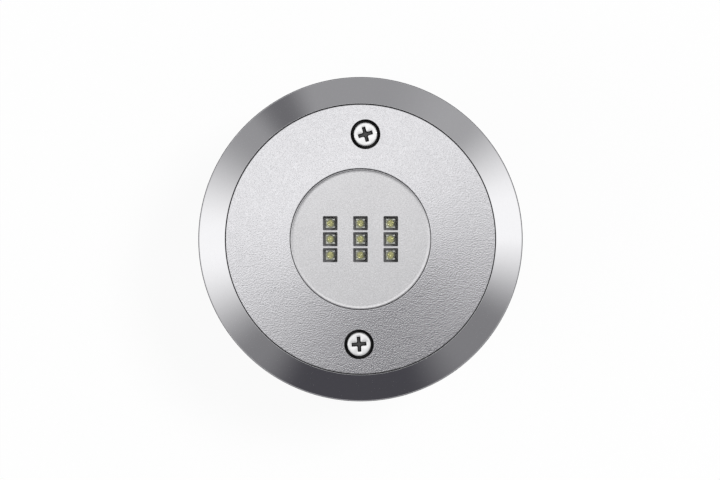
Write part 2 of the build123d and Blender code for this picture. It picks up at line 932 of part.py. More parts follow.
def standoff_stud_top():
    """Height of the end of each standoff's stud in the partition."""
    return chamber_top + small_shank_length


def driver_standoffs():
    """Hexagon standoffs that hang the driver board under the partition."""
    posts = []
    for x, y in standoff_places():
        post = hexagon(2 * standoff_radius, driver_board_top, chamber_top, x, y)
        post += rod(small_shank_radius, chamber_top, standoff_stud_top() - slip_gap, x, y)
        post -= rod(
            small_shank_radius + thread_gap,
            driver_board_top - cut_overrun,
            driver_board_top + small_shank_length,
            x,
            y,
        )
        posts.append(post)
    return group(posts)


def driver_board():
    """Round circuit board of the constant-current driver."""
    board = rod(driver_board_radius, driver_board_low, driver_board_top)
    hole_radius = small_shank_radius + slip_gap
    for x, y in standoff_places():
        board -= rod(hole_radius, driver_board_low - cut_overrun, driver_board_top + cut_overrun, x, y)
    return board


def driver_screws():
    """Screws that hold the driver board to its standoffs."""
    screw = plain_screw(small_head_radius, small_head_height, small_shank_radius, small_shank_length)
    return group([up(x, y, driver_board_low) * Rot(180, 0, 0) * screw for x, y in standoff_places()])


def power_inductor():
    """Square shielded inductor."""
    x, y = on_board(inductor_place_shares)
    body = block(inductor_side, inductor_side, driver_board_low - inductor_height, driver_board_low, x, y)
    return fillet(body.edges().filter_by(Axis.Z), inductor_round)


def capacitors():
    """Two electrolytic cans."""
    cans = []
    for x, y in map(on_board, capacitor_place_shares):
        can = rod(capacitor_radius, driver_board_low - capacitor_height, driver_board_low, x, y)
        cans.append(fillet(can.edges().group_by(Axis.Z)[0], capacitor_round))
    return group(cans)


def driver_chip():
    """Control chip with its legs."""
    x, y = on_board(chip_pack_place_shares)
    pack = block(
        chip_pack_length,
        chip_pack_width,
        driver_board_low - chip_pack_thickness,
        driver_board_low - chip_leg_thickness,
        x,
        y,
    )
    for k in range(chip_leg_count):
        along = x + (k - (chip_leg_count - 1) / 2) * chip_leg_pitch
        pack += block(
            chip_leg_width,
            chip_pack_width + 2 * chip_leg_reach,
            driver_board_low - chip_leg_thickness,
            driver_board_low,
            along,
            y,
        )
    return pack


def rectifier():
    """Flat rectifier block."""
    x, y = on_board(rectifier_place_shares)
    low = driver_board_low - rectifier_height
    return block(rectifier_length, rectifier_width, low, driver_board_low, x, y)


def terminal_pole_places():
    """Middle of each pole of the terminal block."""
    x, y = on_board(terminal_place_shares)
    return [(x + (k - (terminal_poles - 1) / 2) * terminal_pitch, y) for k in range(terminal_poles)]


def terminal_block():
    """Screw terminals for the supply, facing the gland."""
    x, y = on_board(terminal_place_shares)
    low = driver_board_low - terminal_height
    body = block(terminal_length, terminal_width, low, driver_board_low, x, y)
    for px, py in terminal_pole_places():
        well_top = low + terminal_screw_height + terminal_screw_sink
        body -= rod(terminal_well_radius, low - cut_overrun, well_top, px, py)
        entry = Rot(-90, 0, 0) * Cylinder(
            terminal_entry_radius, terminal_entry_depth, align=(Align.CENTER, Align.CENTER, Align.MIN)
        )
        body -= up(px, y - terminal_width / 2, driver_board_low - terminal_entry_drop) * entry
    return body


def terminal_screws():
    """Slotted screws of the terminal block."""
    low = driver_board_low - terminal_height + terminal_screw_sink
    screws = []
    for x, y in terminal_pole_places():
        screw = rod(terminal_screw_radius, low, low + terminal_screw_height, x, y)
        screw -= block(
            2 * terminal_screw_radius + cut_overrun,
            terminal_slot_width,
            low - cut_overrun,
            low + terminal_slot_depth,
            x,
            y,
        )
        screws.append(screw)
    return group(screws)


# Leads


def lead(side):
    """One lead from its pad on the emitter board, down the partition's hole, to the driver board."""
    board_height = emitter_board_top + pad_height + lead_radius
    hole_x = side * lead_spacing / 2
    end_x = side * (lead_spacing / 2 + lead_jog)
    jog_high = chamber_top - standoff_height / 4
    jog_low = driver_board_top + standoff_height / 4
    path = FilletPolyline(
        [
            (side * lead_pad_x, lead_hole_y, board_height),
            (hole_x, lead_hole_y, board_height),
            (hole_x, lead_hole_y, jog_high),
            (end_x, lead_hole_y, jog_low),
            (end_x, lead_hole_y, driver_board_top),
        ],
        radius=lead_bend_radius,
    )
    start = Plane(origin=path @ 0, z_dir=path % 0)
    return sweep(start * Circle(lead_radius), path=path)


def solder_pads():
    """Two pads on the emitter board that the leads end on."""
    return group(
        [
            rod(pad_radius, emitter_board_top, emitter_board_top + pad_height, side * lead_pad_x, lead_hole_y)
            for side in (-1, 1)
        ]
    )


def main():
    """Builds and writes every node."""
    os.makedirs("parts", exist_ok=True)
    save("trim_ring", trim_ring())
    save("face_plate", face_plate())
    save("grid_plate", grid_plate())
    save("trim_bead", trim_bead())
    save("grid_bead", grid_bead())
    save("window_pane", window_pane())
    save("pane_seal", pane_seal())
    save("grid_gasket", grid_gasket())
    save("led_packages", led_packages())
    save("led_chips", led_chips())
    save("led_domes", led_domes())
    save("emitter_board", emitter_board())
    save("emitter_board_screws", emitter_board_screws())
    save("thermal_pad", thermal_pad())
    save("housing", housing())
    save("lead_grommet", lead_grommet())
    save("rear_cover", rear_cover())
    save("rear_seal", rear_seal())
    save("rear_screws", rear_screws())
    save("gland_body", gland_body())
    save("gland_washer", gland_washer())
    save("gland_seal", gland_seal())
    save("gland_slip_ring", gland_slip_ring())
    save("gland_nut", gland_nut())
    save("vent_plug", vent_plug())
    for name, angle, turn in zip(cover_screw_names, cover_screw_angles, cover_screw_turns):
        save(f"{name}_cover_screw", cover_screw(angle, turn))
        save(f"{name}_screw_washer", cover_washer(angle))
    save("sleeve", sleeve())
    save("bedding_gasket", bedding_gasket())
    save("retaining_springs", retaining_springs())
    save("spring_screws", spring_screws())
    save("driver_standoffs", driver_standoffs())
    save("driver_board", driver_board())
    save("driver_screws", driver_screws())
    save("power_inductor", power_inductor())
    save("capacitors", capacitors())
    save("driver_chip", driver_chip())
    save("rectifier", rectifier())
    save("terminal_block", terminal_block())
    save("terminal_screws", terminal_screws())
    save("lead_red", lead(-1))
    save("lead_black", lead(1))
    save("solder_pads", solder_pads())


main()
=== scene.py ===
"""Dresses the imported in-ground light: finer meshes and finishes for its pieces, the studio and the camera.

Lengths are in metres, angles in degrees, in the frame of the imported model: +Z up out of the ground, +Y
towards the upper cover screw, and the origin in the middle of the sleeve's foot.
"""

import json
from math import atan2, cos, pi, radians, sin, sqrt, tan

import bmesh
import bpy
from mathutils import Matrix, Vector

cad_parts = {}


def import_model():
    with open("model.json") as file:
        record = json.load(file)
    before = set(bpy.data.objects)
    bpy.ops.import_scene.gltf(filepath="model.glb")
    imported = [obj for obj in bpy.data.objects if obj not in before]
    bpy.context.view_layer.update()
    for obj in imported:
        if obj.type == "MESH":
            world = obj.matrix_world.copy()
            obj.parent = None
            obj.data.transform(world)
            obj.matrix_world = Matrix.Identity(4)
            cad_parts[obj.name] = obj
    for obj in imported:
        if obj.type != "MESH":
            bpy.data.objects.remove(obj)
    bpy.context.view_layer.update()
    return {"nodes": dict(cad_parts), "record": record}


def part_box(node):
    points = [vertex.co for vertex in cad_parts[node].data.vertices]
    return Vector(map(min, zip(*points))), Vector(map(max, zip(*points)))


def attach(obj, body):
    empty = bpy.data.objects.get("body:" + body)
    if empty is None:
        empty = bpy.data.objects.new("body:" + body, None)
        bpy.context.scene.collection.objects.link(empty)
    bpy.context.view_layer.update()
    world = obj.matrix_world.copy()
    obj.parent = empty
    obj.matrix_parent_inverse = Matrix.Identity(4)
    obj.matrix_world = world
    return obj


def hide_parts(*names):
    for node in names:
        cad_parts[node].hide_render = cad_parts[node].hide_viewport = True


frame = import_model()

mm = 0.001

# Sizes that follow from the frame
housing_low, housing_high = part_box("housing")
seat = housing_high.z
rear_top = housing_low.z
flange_radius = housing_high.x
chamber_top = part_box("lead_grommet")[0].z
pocket_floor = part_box("thermal_pad")[0].z
board_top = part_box("emitter_board")[1].z
package_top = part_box("led_packages")[1].z
dome_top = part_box("led_domes")[1].z
trim_low, trim_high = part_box("trim_ring")
trim_radius = trim_high.x
trim_top = trim_high.z
face_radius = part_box("face_plate")[1].x
grid_low, grid_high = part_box("grid_plate")
grid_flange_radius = grid_high.x
grid_top = grid_high.z
sleeve_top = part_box("sleeve")[1].z
collar_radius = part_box("sleeve")[1].x
rear_low, rear_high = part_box("rear_cover")
rear_radius = rear_high.x

# Face of the lamp
face_slope = 4.0
face_crown = 0.085 * mm
bevel_slope = 20.0
trim_gap = 0.35 * mm
trim_bore = face_radius + trim_gap
lip_thickness = 2.0 * mm
lip_bore = 41.05 * mm
paving_lip_radius = 50.65 * mm
trim_edge_round = 0.8 * mm
trim_inner_round = 0.1 * mm
fine_round = 0.12 * mm
bead_round = 0.1 * mm
face_edge_round = 0.22 * mm
gap_lip = 0.03 * mm
dish_lip = 0.07 * mm
lip_depth = 0.4 * mm
face_opening = 23.95 * mm
face_pocket_radius = 27.3 * mm
spigot_radius = 40.75 * mm
spigot_gap = 0.2 * mm
dish_depth = 0.7 * mm
cove_width = 0.85 * mm
cove_slope = 8.0
dish_wall = 0.1 * mm
dish_edge_round = 0.12 * mm
grid_radius = 23.6 * mm
grid_thickness = 1.1 * mm
grid_shoulder = 3.7 * mm
grid_pocket_radius = 22.2 * mm
bead_gap = 0.05 * mm

# Windows and emitters
window_columns = 3
window_rows = 3
window_width = 4.9 * mm
window_height = 4.7 * mm
window_pitch_x = 10.25 * mm
window_pitch_y = 5.4 * mm
window_corner = 0.3 * mm
window_edge_round = 0.08 * mm
package_side = 3.3 * mm
package_corner = 0.12 * mm
package_edge = 0.06 * mm
pad_size = (0.95 * mm, 0.42 * mm)
pad_offset = (1.06 * mm, 1.3 * mm)
pad_corner = 0.1 * mm
pad_rise = 0.02 * mm
chip_radius = 0.95 * mm
chip_height = 0.15 * mm
chip_crown = 0.05 * mm
dome_radius = 1.475 * mm
dome_gap = 0.01 * mm
board_screw_circle = 17.0 * mm
board_screw_angles = (90.0, 230.0, 310.0)
board_hole_radius = 1.23 * mm
board_screw_length = 5.0 * mm
board_screw_spare = 0.3 * mm

# Cover screws
screw_names = ("upper", "lower")
screw_circle = 35.55 * mm
screw_angles = (87.3, 269.2)
cross_turns = (16.0, 4.6)
counterbore_radius = 5.0 * mm
plate_hole_radius = 2.25 * mm
counterbore_edge = 0.35 * mm
cut_spare = 0.09 * mm
recess_spare = 0.03 * mm
screw_head_radius = 4.0 * mm
screw_head_height = 2.6 * mm
screw_head_round = 0.5 * mm
screw_shank_radius = 1.95 * mm
screw_shank_length = 12.0 * mm
screw_pitch = 0.7 * mm
screw_thread_depth = 0.4 * mm
screw_hole_radius = 2.03 * mm
screw_hole_spare = 2.0 * mm
cross_span = 5.0 * mm
cross_arm = 1.2 * mm
cross_depth = 1.3 * mm
cross_taper = 0.2 * mm
cross_inner_round = 0.4 * mm
cross_tip_round = 0.2 * mm
recess_edge = 0.1 * mm
# How far painted shade darkens the floor of a screw's cross recess
floor_shade_share = 0.86

# Housing
flange_thickness = 5.0 * mm
foot_flange_thickness = 7.0 * mm
core_radius = 33.05 * mm
fin_radius = 41.55 * mm
fin_count = 24
fin_thickness = 1.8 * mm
fin_root_round = 0.9 * mm
fin_tip_round = 0.5 * mm
chamber_radius = 29.55 * mm
pocket_radius = 20.0 * mm
lead_hole = (0, -13.5 * mm, 3.2 * mm)
boss_radius = 4.43 * mm
boss_floor = 2.4 * mm
pad_width = 8.0 * mm
pad_height = 11.0 * mm
pad_drop = 3.0 * mm
pad_face = 39.25 * mm
cast_round = 0.3 * mm
join_depth = 1.5 * mm
join_overlap = mm / 4
standoff_circle = 22.55 * mm
standoff_angles = (20.0, 160.0, 235.0)
small_hole_radius = 1.53 * mm
small_hole_depth = 5.0 * mm
rear_hole_depth = 5.6 * mm

# Leaf springs
spring_count = 3
spring_width = 7.0 * mm
spring_thickness = 0.5 * mm
spring_bow_radius = 42.9 * mm
spring_bow_drop = 12.0 * mm
spring_tip_drop = 24.0 * mm
spring_tip_inset = 2.4 * mm
spring_bend_radius = 6.0 * mm
spring_end_round = 1.5 * mm
small_head_radius = 2.6 * mm
small_head_height = 1.6 * mm
small_shank_radius = 1.45 * mm
small_shank_length = 4.7 * mm
small_pitch = 0.5 * mm

# Rear cover
rear_boss_radius = 12.0 * mm
rear_boss_height = 3.0 * mm
rear_screw_count = 4
rear_screw_circle = 35.65 * mm
rear_head_radius = 2.75 * mm
rear_head_height = 3.0 * mm
rear_head_sink = 1.8 * mm
rear_well_radius = 3.05 * mm
rear_socket_width = 2.5 * mm
rear_socket_depth = 1.5 * mm
rear_shank_radius = 1.45 * mm
rear_shank_length = 8.0 * mm
rear_hole_radius = 1.6 * mm
groove_radius = 31.45 * mm
groove_width = 1.8 * mm
groove_depth = 1.6 * mm
knurl_count = 40
knurl_depth = 0.12 * mm

# Cable gland and breather
gland_hex_width = 20.0 * mm
gland_thread_radius = 7.95 * mm
gland_thread_hole = 8.03 * mm
gland_bore_radius = 5.0 * mm
gland_seat_radius = 7.2 * mm
gland_seat_depth = 6.0 * mm
gland_neck_radius = 8.5 * mm
gland_neck_length = 9.0 * mm
gland_pitch = 1.5 * mm
gland_thread_depth = 0.55 * mm
gland_nut_floor = 1.6 * mm
gland_nut_bore = 8.8 * mm
gland_nut_mouth = 4.3 * mm
gland_dome = 2.4 * mm
hex_chamfer_slope = 30.0
hex_corner = gland_hex_width / sqrt(3) - 2 * fine_round
cable_radius = 3.5 * mm
cable_seal_round = mm / 4
gland_ring_bore = 4.4 * mm
vent_place = (0, 22.0 * mm)
vent_hole_radius = 3.48 * mm
vent_thread_radius = 3.4 * mm
vent_head_radius = 4.5 * mm
vent_head_height = 3.5 * mm
vent_pitch = 1.0 * mm
vent_slot_width = 1.0 * mm
vent_slot_depth = 1.2 * mm

# Sleeve
sleeve_bore = 43.55 * mm
sleeve_radius = 46.55 * mm
collar_thickness = 4.0 * mm
foot_chamfer = 0.6 * mm
groove_lows = (31.0 * mm, 38.0 * mm)
sleeve_groove_width = 3.0 * mm
sleeve_groove_depth = 0.8 * mm
conduit_notch = (22.0 * mm, 25.0 * mm)
drain_notch = (8.0 * mm, 6.0 * mm)
sleeve_edge_round = 0.3 * mm
foam_inset = mm / 2
foam_round = 0.3 * mm

# Softened edges of the pieces carried over from the CAD
carried_edge = 0.08 * mm
carried_edge_angle = 40.0
flat_angle = 1.0

# Camera: straight above the face, as far off as a long lens needs to fit the photograph's frame
frame_pixels = (720, 480)
metres_per_pixel = 0.33867 * mm
object_shift_pixels = (0.5, 0.8)
camera_lens = 100.0
camera_sensor = 36.0

# Studio
floor_reach = 6.0
paper_glow = 0.92
sky_radius = 2.4
sky_light = 0.5
paper_shades = (0.88, 0.92)
white = (1, 1, 1, 1)
card_colour = (0.020, 0.0185, 0.028)
# Painted shadow of the floor round the foot, seen only in reflections
ground_cover = 0.95
ground_reach = (0.5, 2.2)
ground_rings = 12
ground_points = 120

# Cards above the light: ranges in degrees of tilt from the zenith and of turn round it, over which a card's
# cover fades in or out
lower_middle = 289.0
lower_soft_edge = (-8.5, 24.0)
lower_core = ((229.0, 248.0), (288.0, 312.0))
lower_turns = ((186.0, 226.0), (328.0, 364.0))
lower_tilts = (22.0, 40.0)
lower_cover = 0.80
lower_core_more = 0.155
upper_turns = ((13.0, 52.0), (138.0, 178.0))
upper_thin_turns = ((42.0, 52.0), (52.0, 82.0))
upper_tilts = (16.0, 36.0)
upper_cover = 0.70
upper_thinner = 0.1
strip_middle = 121.0
strip_fade = (2.0, 13.0)
strip_tilts = (20.0, 34.0)
strip_cover = 0.55
horizon_cover = 0.6
horizon_side_less = 0.12
horizon_tilts = (54.0, 64.0)
overhead_less = 0.85
overhead_tilts = (56.0, 68.0)
tilt_step = 1.5
turn_step = 3.0

tiny = 1e-7
round_segments = 256
face_segments = 360
body_segments = 288
gland_segments = 128
small_segments = 64
drill_segments = 48
thread_rows = 8


# Meshes


def rounded(corners, steps=5):
    """An outline from corners (across, up, round), each turned into an arc of that radius."""
    points = []
    for k, (across, up, size) in enumerate(corners):
        here = Vector((across, up))
        if size == 0:
            points.append(here)
            continue
        back = (Vector(corners[k - 1][:2]) - here).normalized()
        ahead = (Vector(corners[(k + 1) % len(corners)][:2]) - here).normalized()
        half = back.angle(ahead) / 2
        middle = here + (back + ahead).normalized() * size / sin(half)
        first = here + back * size / tan(half) - middle
        last = here + ahead * size / tan(half) - middle
        start = atan2(first.y, first.x)
        turn = (atan2(last.y, last.x) - start + pi) % (2 * pi) - pi
        for step in range(steps + 1):
            angle = start + turn * step / steps
            points.append(middle + size * Vector((cos(angle), sin(angle))))
    return points


def bridge(made, rings, closed):
    """Faces between neighbouring rings of vertices; a ring of one vertex is a pole."""
    ahead = rings[1:] + rings[:1] if closed else rings[1:]
    for low, high in zip(rings, ahead):
        count = max(len(low), len(high))
        for k in range(count if count > 1 else 0):
            around_face = ((low, k), (low, k + 1), (high, k + 1), (high, k))
            corners = [ring[step % len(ring)] for ring, step in around_face]
            made.faces.new(list(dict.fromkeys(corners)))


def mesh_from(made, name):
    """A mesh from a bmesh, with its normals outwards."""
    bmesh.ops.recalc_face_normals(made, faces=made.faces)
    mesh = bpy.data.meshes.new(name)
    made.to_mesh(mesh)
    made.free()
    return mesh


def turned(name, outline, segments=round_segments):
    """A mesh turned about the Z axis from a closed outline of (radius, height)."""
    turns = [2 * pi * k / segments for k in range(segments)]
    rings = []
    for radius, height in outline:
        if radius < tiny:
            rings.append([(0, 0, height)])
        else:
            rings.append([(radius * cos(turn), radius * sin(turn), height) for turn in turns])
    return looped(name, rings)


def quarter(size, steps):
    """Points along the quarter circle of a rounded edge: how far across and how far down each is."""
    angles = [pi / 2 * step / steps for step in range(steps + 1)]
    return [(size * (1 - cos(angle)), size * (1 - sin(angle))) for angle in angles]


def lofted(name, sections):
    """A closed mesh through sections, each a list of as many points (x, y, z)."""
    made = bmesh.new()
    rings = [[made.verts.new(point) for point in section] for section in sections]
    bridge(made, rings, False)
    made.faces.new(rings[0])
    made.faces.new(rings[-1])
    return mesh_from(made, name)


def loop_of(width, height, corner, level, middle=(0, 0), steps=4):
    """A rounded rectangle's points at one height."""
    outline = [(-width, -height), (width, -height), (width, height), (-width, height)]
    points = rounded([(x / 2, y / 2, corner) for x, y in outline], steps)
    return [(middle[0] + point.x, middle[1] + point.y, level) for point in points]


# Pieces


def bare(name, mesh, place=None):
    """An object that holds a mesh, which is moved to its place first."""
    if place is not None:
        mesh.transform(place)
    made = bpy.data.objects.new(name, mesh)
    bpy.context.scene.collection.objects.link(made)
    return made


def settle(made):
    """Applies what an object's modifiers make, for good."""
    graph = bpy.context.evaluated_depsgraph_get()
    mesh = bpy.data.meshes.new_from_object(made.evaluated_get(graph))
    made.modifiers.clear()
    made.data = mesh


def combine(made, others, operation):
    """Cuts other objects out of one, or joins them to it, and removes them."""
    for other in others:
        change = made.modifiers.new(operation, "BOOLEAN")
        change.operation = operation
        change.solver = "EXACT"
        change.object = other
    settle(made)
    for other in others:
        bpy.data.objects.remove(other)


def merge_flat(mesh, level):
    """Makes the faces at one height as large as they go, so that the shading round holes stays even."""
    made = bmesh.new()
    made.from_mesh(mesh)
    flat = [face for face in made.faces if all(abs(corner.co.z - level) < tiny for corner in face.verts)]
    inside = [edge for edge in made.edges if edge.link_faces and set(edge.link_faces) <= set(flat)]
    bmesh.ops.dissolve_limit(made, angle_limit=radians(flat_angle), verts=[], edges=inside)
    made.to_mesh(mesh)
    made.free()


def shade(mesh, limit=32.0):
    """Smooth shading with sharp edges above an angle."""
    mesh.shade_smooth()
    mesh.set_sharp_from_angle(angle=radians(limit))


def finish_piece(made, body, slot, nodes=()):
    """Dresses a new object, lets it ride on a body and stand for CAD nodes."""
    made.data.materials.clear()
    made.data.materials.append(materials[slot])
    shade(made.data)
    even = made.modifiers.new("even", "WEIGHTED_NORMAL")
    even.keep_sharp = True
    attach(made, body)
    if nodes:
        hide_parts(*nodes)


def on_circle(radius, angle):
    """A point on a circle round the Z axis."""
    return radius * cos(radians(angle)), radius * sin(radians(angle))


def face_height(radius):
    """Height of the face plate's sloping top at a radius; the slope grows slightly towards the middle."""
    inwards = face_radius - radius
    crown = face_crown * (inwards / (face_radius - face_opening)) ** 2
    return trim_top + inwards * tan(radians(face_slope)) + crown


# Materials

turning_pitch = 0.2 * mm
turning_turn = 0.3 * mm
metal_patch = 9 * mm
plastic_patch = 6 * mm
glass_patch = 5 * mm
dome_patch = 1 * mm
grain_stretch = (1.4, 1.0, 1.0)
noise_range = (0.3, 0.7)
metal_gloss_change = 0.08
plastic_gloss_change = 0.12
# Colour of the painted shade in recesses, standing in for the shadow inside holes
painted_shade_colour = (0.03, 0.03, 0.031)


def add(tree, kind, inputs=None, **settings):
    """A node with its settings, and its inputs set or linked."""
    made = tree.nodes.new("ShaderNode" + kind)
    for key, value in settings.items():
        setattr(made, key, value)
    for key, value in (inputs or {}).items():
        if isinstance(value, bpy.types.NodeSocket):
            tree.links.new(value, made.inputs[key])
        else:
            made.inputs[key].default_value = value
    return made


def blank(name):
    """An empty material and its node tree."""
    made = bpy.data.materials.new(name)
    made.use_nodes = True
    made.node_tree.nodes.clear()
    return made, made.node_tree


def output(tree, shader):
    """Ends a tree in its surface."""
    add(tree, "OutputMaterial", {"Surface": shader})


def place(tree):
    """A point's place in its own object."""
    return add(tree, "TexCoord").outputs["Object"]


def maths(tree, operation, first, second):
    """The outcome of an operation on two values."""
    return add(tree, "Math", {0: first, 1: second}, operation=operation).outputs[0]


def mixed(tree, share, first, second):
    """A blend of two shaders."""
    return add(tree, "MixShader", {0: share, 1: first, 2: second}).outputs[0]


def see_through(tree, colour=white):
    """A shader that lets light past in a colour."""
    return add(tree, "BsdfTransparent", {"Color": colour}).outputs[0]


def around(tree):
    """A point's distance from the Z axis and its direction, for marks that run round the axis."""
    flat = add(tree, "VectorMath", {0: place(tree), 1: (1, 1, 0)}, operation="MULTIPLY").outputs[0]
    distance = add(tree, "VectorMath", {0: flat}, operation="LENGTH").outputs["Value"]
    direction = add(tree, "VectorMath", {0: flat}, operation="NORMALIZE").outputs[0]
    parts = add(tree, "SeparateXYZ", {0: direction})
    small = [maths(tree, "MULTIPLY", parts.outputs[k], turning_turn) for k in (0, 1)]
    return add(tree, "CombineXYZ", {0: distance, 1: small[0], 2: small[1]}).outputs[0]


def grain(tree, size, vector=None, detail=3.0, stretch=(1, 1, 1)):
    """Noise with features of a real size, from 0 to 1."""
    where = vector or place(tree)
    scaled = add(tree, "VectorMath", {0: where, 1: tuple(s / size for s in stretch)}, operation="MULTIPLY")
    noise = add(tree, "TexNoise", {"Vector": scaled.outputs[0], "Scale": 1.0, "Detail": detail})
    return noise.outputs["Fac"]


def spread(tree, value, low, high):
    """Carries noise over to a range of values."""
    inputs = {"Value": value, "From Min": noise_range[0], "From Max": noise_range[1]}
    return add(tree, "MapRange", {**inputs, "To Min": low, "To Max": high}).outputs["Result"]


def tint(tree, value, low, high):
    """Carries noise over to a colour between two."""
    ramp = add(tree, "ValToRGB", {"Fac": value})
    for stop, position, colour in zip(ramp.color_ramp.elements, noise_range, (low, high)):
        stop.position = position
        stop.color = (*colour, 1)
    return ramp.outputs["Color"]


def bump(tree, height, depth, under=None):
    """A surface raised by a height from 0 to 1 times a depth."""
    inputs = {"Height": height, "Distance": depth, "Strength": 1.0}
    if under is not None:
        inputs["Normal"] = under
    return add(tree, "Bump", inputs).outputs["Normal"]


def scaled_colour(colour, factor):
    """A colour made darker or lighter."""
    return tuple(min(1, c * factor) for c in colour)


def metal(name, colour, roughness, grain_size, grain_depth, mottle=0.04, turning=0.0, metallic=1.0):
    """Metal with a grain in its relief and colour, uneven gloss and, if wanted, turning; depths in mm. Where
    a piece marks a recess, painted shade darkens the colour nearly to black and the gloss goes.
    """
    made, tree = blank(name)
    fine = grain(tree, grain_size * mm, detail=1.5, stretch=grain_stretch)
    broad = grain(tree, metal_patch, detail=1.0)
    normal = bump(tree, fine, grain_depth * mm)
    if turning:
        normal = bump(tree, grain(tree, turning_pitch, around(tree), detail=2.0), turning * mm, normal)
    bare_colour = tint(tree, fine, scaled_colour(colour, 1 - mottle), scaled_colour(colour, 1 + mottle))
    # Painted shade: the recess attribute blends the colour to a near-black and makes the surface fully rough
    hollow = add(tree, "Attribute", attribute_name="recess").outputs["Fac"]
    painted_recess_shade = add(tree, "MixRGB", {0: hollow, 1: bare_colour, 2: (*painted_shade_colour, 1)})
    less, more = (roughness * (1 + side * metal_gloss_change) for side in (-1, 1))
    rough = maths(tree, "MAXIMUM", spread(tree, broad, less, more), hollow)
    inputs = {"Base Color": painted_recess_shade.outputs[0], "Roughness": rough, "Normal": normal}
    output(tree, add(tree, "BsdfPrincipled", {**inputs, "Metallic": metallic}).outputs[0])
    return made


def moulded(name, colour, roughness, grain_size, grain_depth, variation=0.15):
    """Plastic, rubber or ceramic with a fine texture and faint mottling; the grain's sizes are in mm."""
    made, tree = blank(name)
    fine = grain(tree, grain_size * mm)
    broad = grain(tree, plastic_patch, detail=4.0)
    low, high = scaled_colour(colour, 1 - variation), scaled_colour(colour, 1 + variation)
    less, more = (roughness * (1 + side * plastic_gloss_change) for side in (-1, 1))
    rough = spread(tree, broad, less, min(1, more))
    normal = bump(tree, fine, grain_depth * mm)
    inputs = {"Base Color": tint(tree, broad, low, high), "Roughness": rough, "Normal": normal}
    output(tree, add(tree, "BsdfPrincipled", inputs).outputs[0])
    return made


def clear(name, tint_colour, ior, roughness):
    """Clear glass or silicone, seen through by lamps, with a faint uneven gloss."""
    made, tree = blank(name)
    haze = spread(tree, grain(tree, glass_patch, detail=4.0), roughness, roughness * 2)
    glass = add(tree, "BsdfGlossy", {"Color": white, "Roughness": haze})
    edge = add(tree, "Fresnel", {"IOR": ior})
    seen = maths(tree, "SUBTRACT", 1.0, add(tree, "LightPath").outputs["Is Shadow Ray"])
    gloss = maths(tree, "MULTIPLY", edge.outputs[0], seen)
    output(tree, mixed(tree, gloss, see_through(tree, (*tint_colour, 1)), glass.outputs[0]))
    return made


def dome_clear(name, tint_colour, ior):
    """Clear silicone that bends what is under it, and lets lamps through."""
    made, tree = blank(name)
    haze = spread(tree, grain(tree, dome_patch, detail=2.0), 0.0, 0.04)
    lens = add(tree, "BsdfGlass", {"Color": (*tint_colour, 1), "IOR": ior, "Roughness": haze})
    path = add(tree, "LightPath")
    passing = maths(tree, "MAXIMUM", path.outputs["Is Shadow Ray"], path.outputs["Is Diffuse Ray"])
    output(tree, mixed(tree, passing, lens.outputs[0], see_through(tree, (*tint_colour, 1))))
    return made


materials = {
    "polished_steel": metal("mirror_polished_steel", (0.92, 0.917, 0.935), 0.09, 1.2, 0.0003, 0.008, 0.0005),
    "blasted_steel": metal("bead_blasted_steel", (0.86, 0.855, 0.88), 0.19, 0.4, 0.07, 0.12),
    "satin_steel": metal("satin_steel", (0.805, 0.80, 0.815), 0.21, 0.4, 0.011, 0.1),
    "screw_steel": metal("bright_plated_screw", (0.98, 0.98, 0.985), 0.26, 0.5, 0.001, 0.015, metallic=0.6),
    "spring_steel": metal("rolled_spring_steel", (0.55, 0.56, 0.58), 0.28, 0.25, 0.002, 0.06),
    "cast_aluminium": metal("cast_aluminium", (0.56, 0.57, 0.58), 0.48, 0.55, 0.03, 0.07),
    "nickel_brass": metal("nickel_plated_brass", (0.80, 0.77, 0.72), 0.2, 0.5, 0.001, 0.04),
    "black_polyamide": moulded("black_glass_filled_polyamide", (0.03, 0.03, 0.032), 0.5, 0.35, 0.01),
    "black_rubber": moulded("black_rubber", (0.022, 0.022, 0.022), 0.72, 0.3, 0.008),
    "grey_silicone": moulded("grey_silicone", (0.42, 0.42, 0.43), 0.55, 0.3, 0.004, 0.05),
    "clear_glass": clear("coated_toughened_glass", (0.97, 0.975, 0.965), 1.25, 0.02),
    "clear_silicone": dome_clear("dome_silicone", (0.98, 0.98, 0.95), 1.41),
    "yellow_phosphor": moulded("yellow_phosphor", (0.63, 0.605, 0.285), 0.6, 0.08, 0.004, 0.08),
    "led_ceramic": moulded("grey_package_ceramic", (0.46, 0.46, 0.40), 0.35, 0.2, 0.002, 0.06),
    "dark_board": moulded("dark_solder_mask", (0.20, 0.193, 0.215), 0.4, 0.25, 0.003, 0.12),
    "thermal_pad": moulded("thermal_pad", (0.45, 0.52, 0.62), 0.8, 0.2, 0.004, 0.06),
    "green_board": moulded("green_solder_mask", (0.03, 0.16, 0.07), 0.3, 0.4, 0.002, 0.25),
    "ferrite": moulded("pressed_ferrite", (0.10, 0.10, 0.10), 0.6, 0.15, 0.006, 0.2),
    "capacitor_sleeve": moulded("capacitor_sleeve", (0.05, 0.07, 0.14), 0.25, 0.5, 0.002, 0.1),
    "chip_epoxy": moulded("chip_epoxy", (0.035, 0.035, 0.035), 0.55, 0.12, 0.004, 0.15),
    "terminal_green": moulded("terminal_polyamide", (0.06, 0.30, 0.14), 0.45, 0.3, 0.005, 0.1),
    "red_lead": moulded("red_silicone_lead", (0.45, 0.03, 0.03), 0.5, 0.2, 0.003, 0.1),
    "black_lead": moulded("black_silicone_lead", (0.03, 0.03, 0.03), 0.5, 0.2, 0.003, 0.2),
    "tinned_copper": metal("tinned_pad", (0.68, 0.68, 0.67), 0.16, 0.15, 0.001, 0.03),
}


# Rings: as many points each, which are bridged into one closed surface


def ring_of(radius, level, count):
    """Points evenly round a circle at one height."""
    return [(*on_circle(radius, 360 * k / count), level) for k in range(count)]


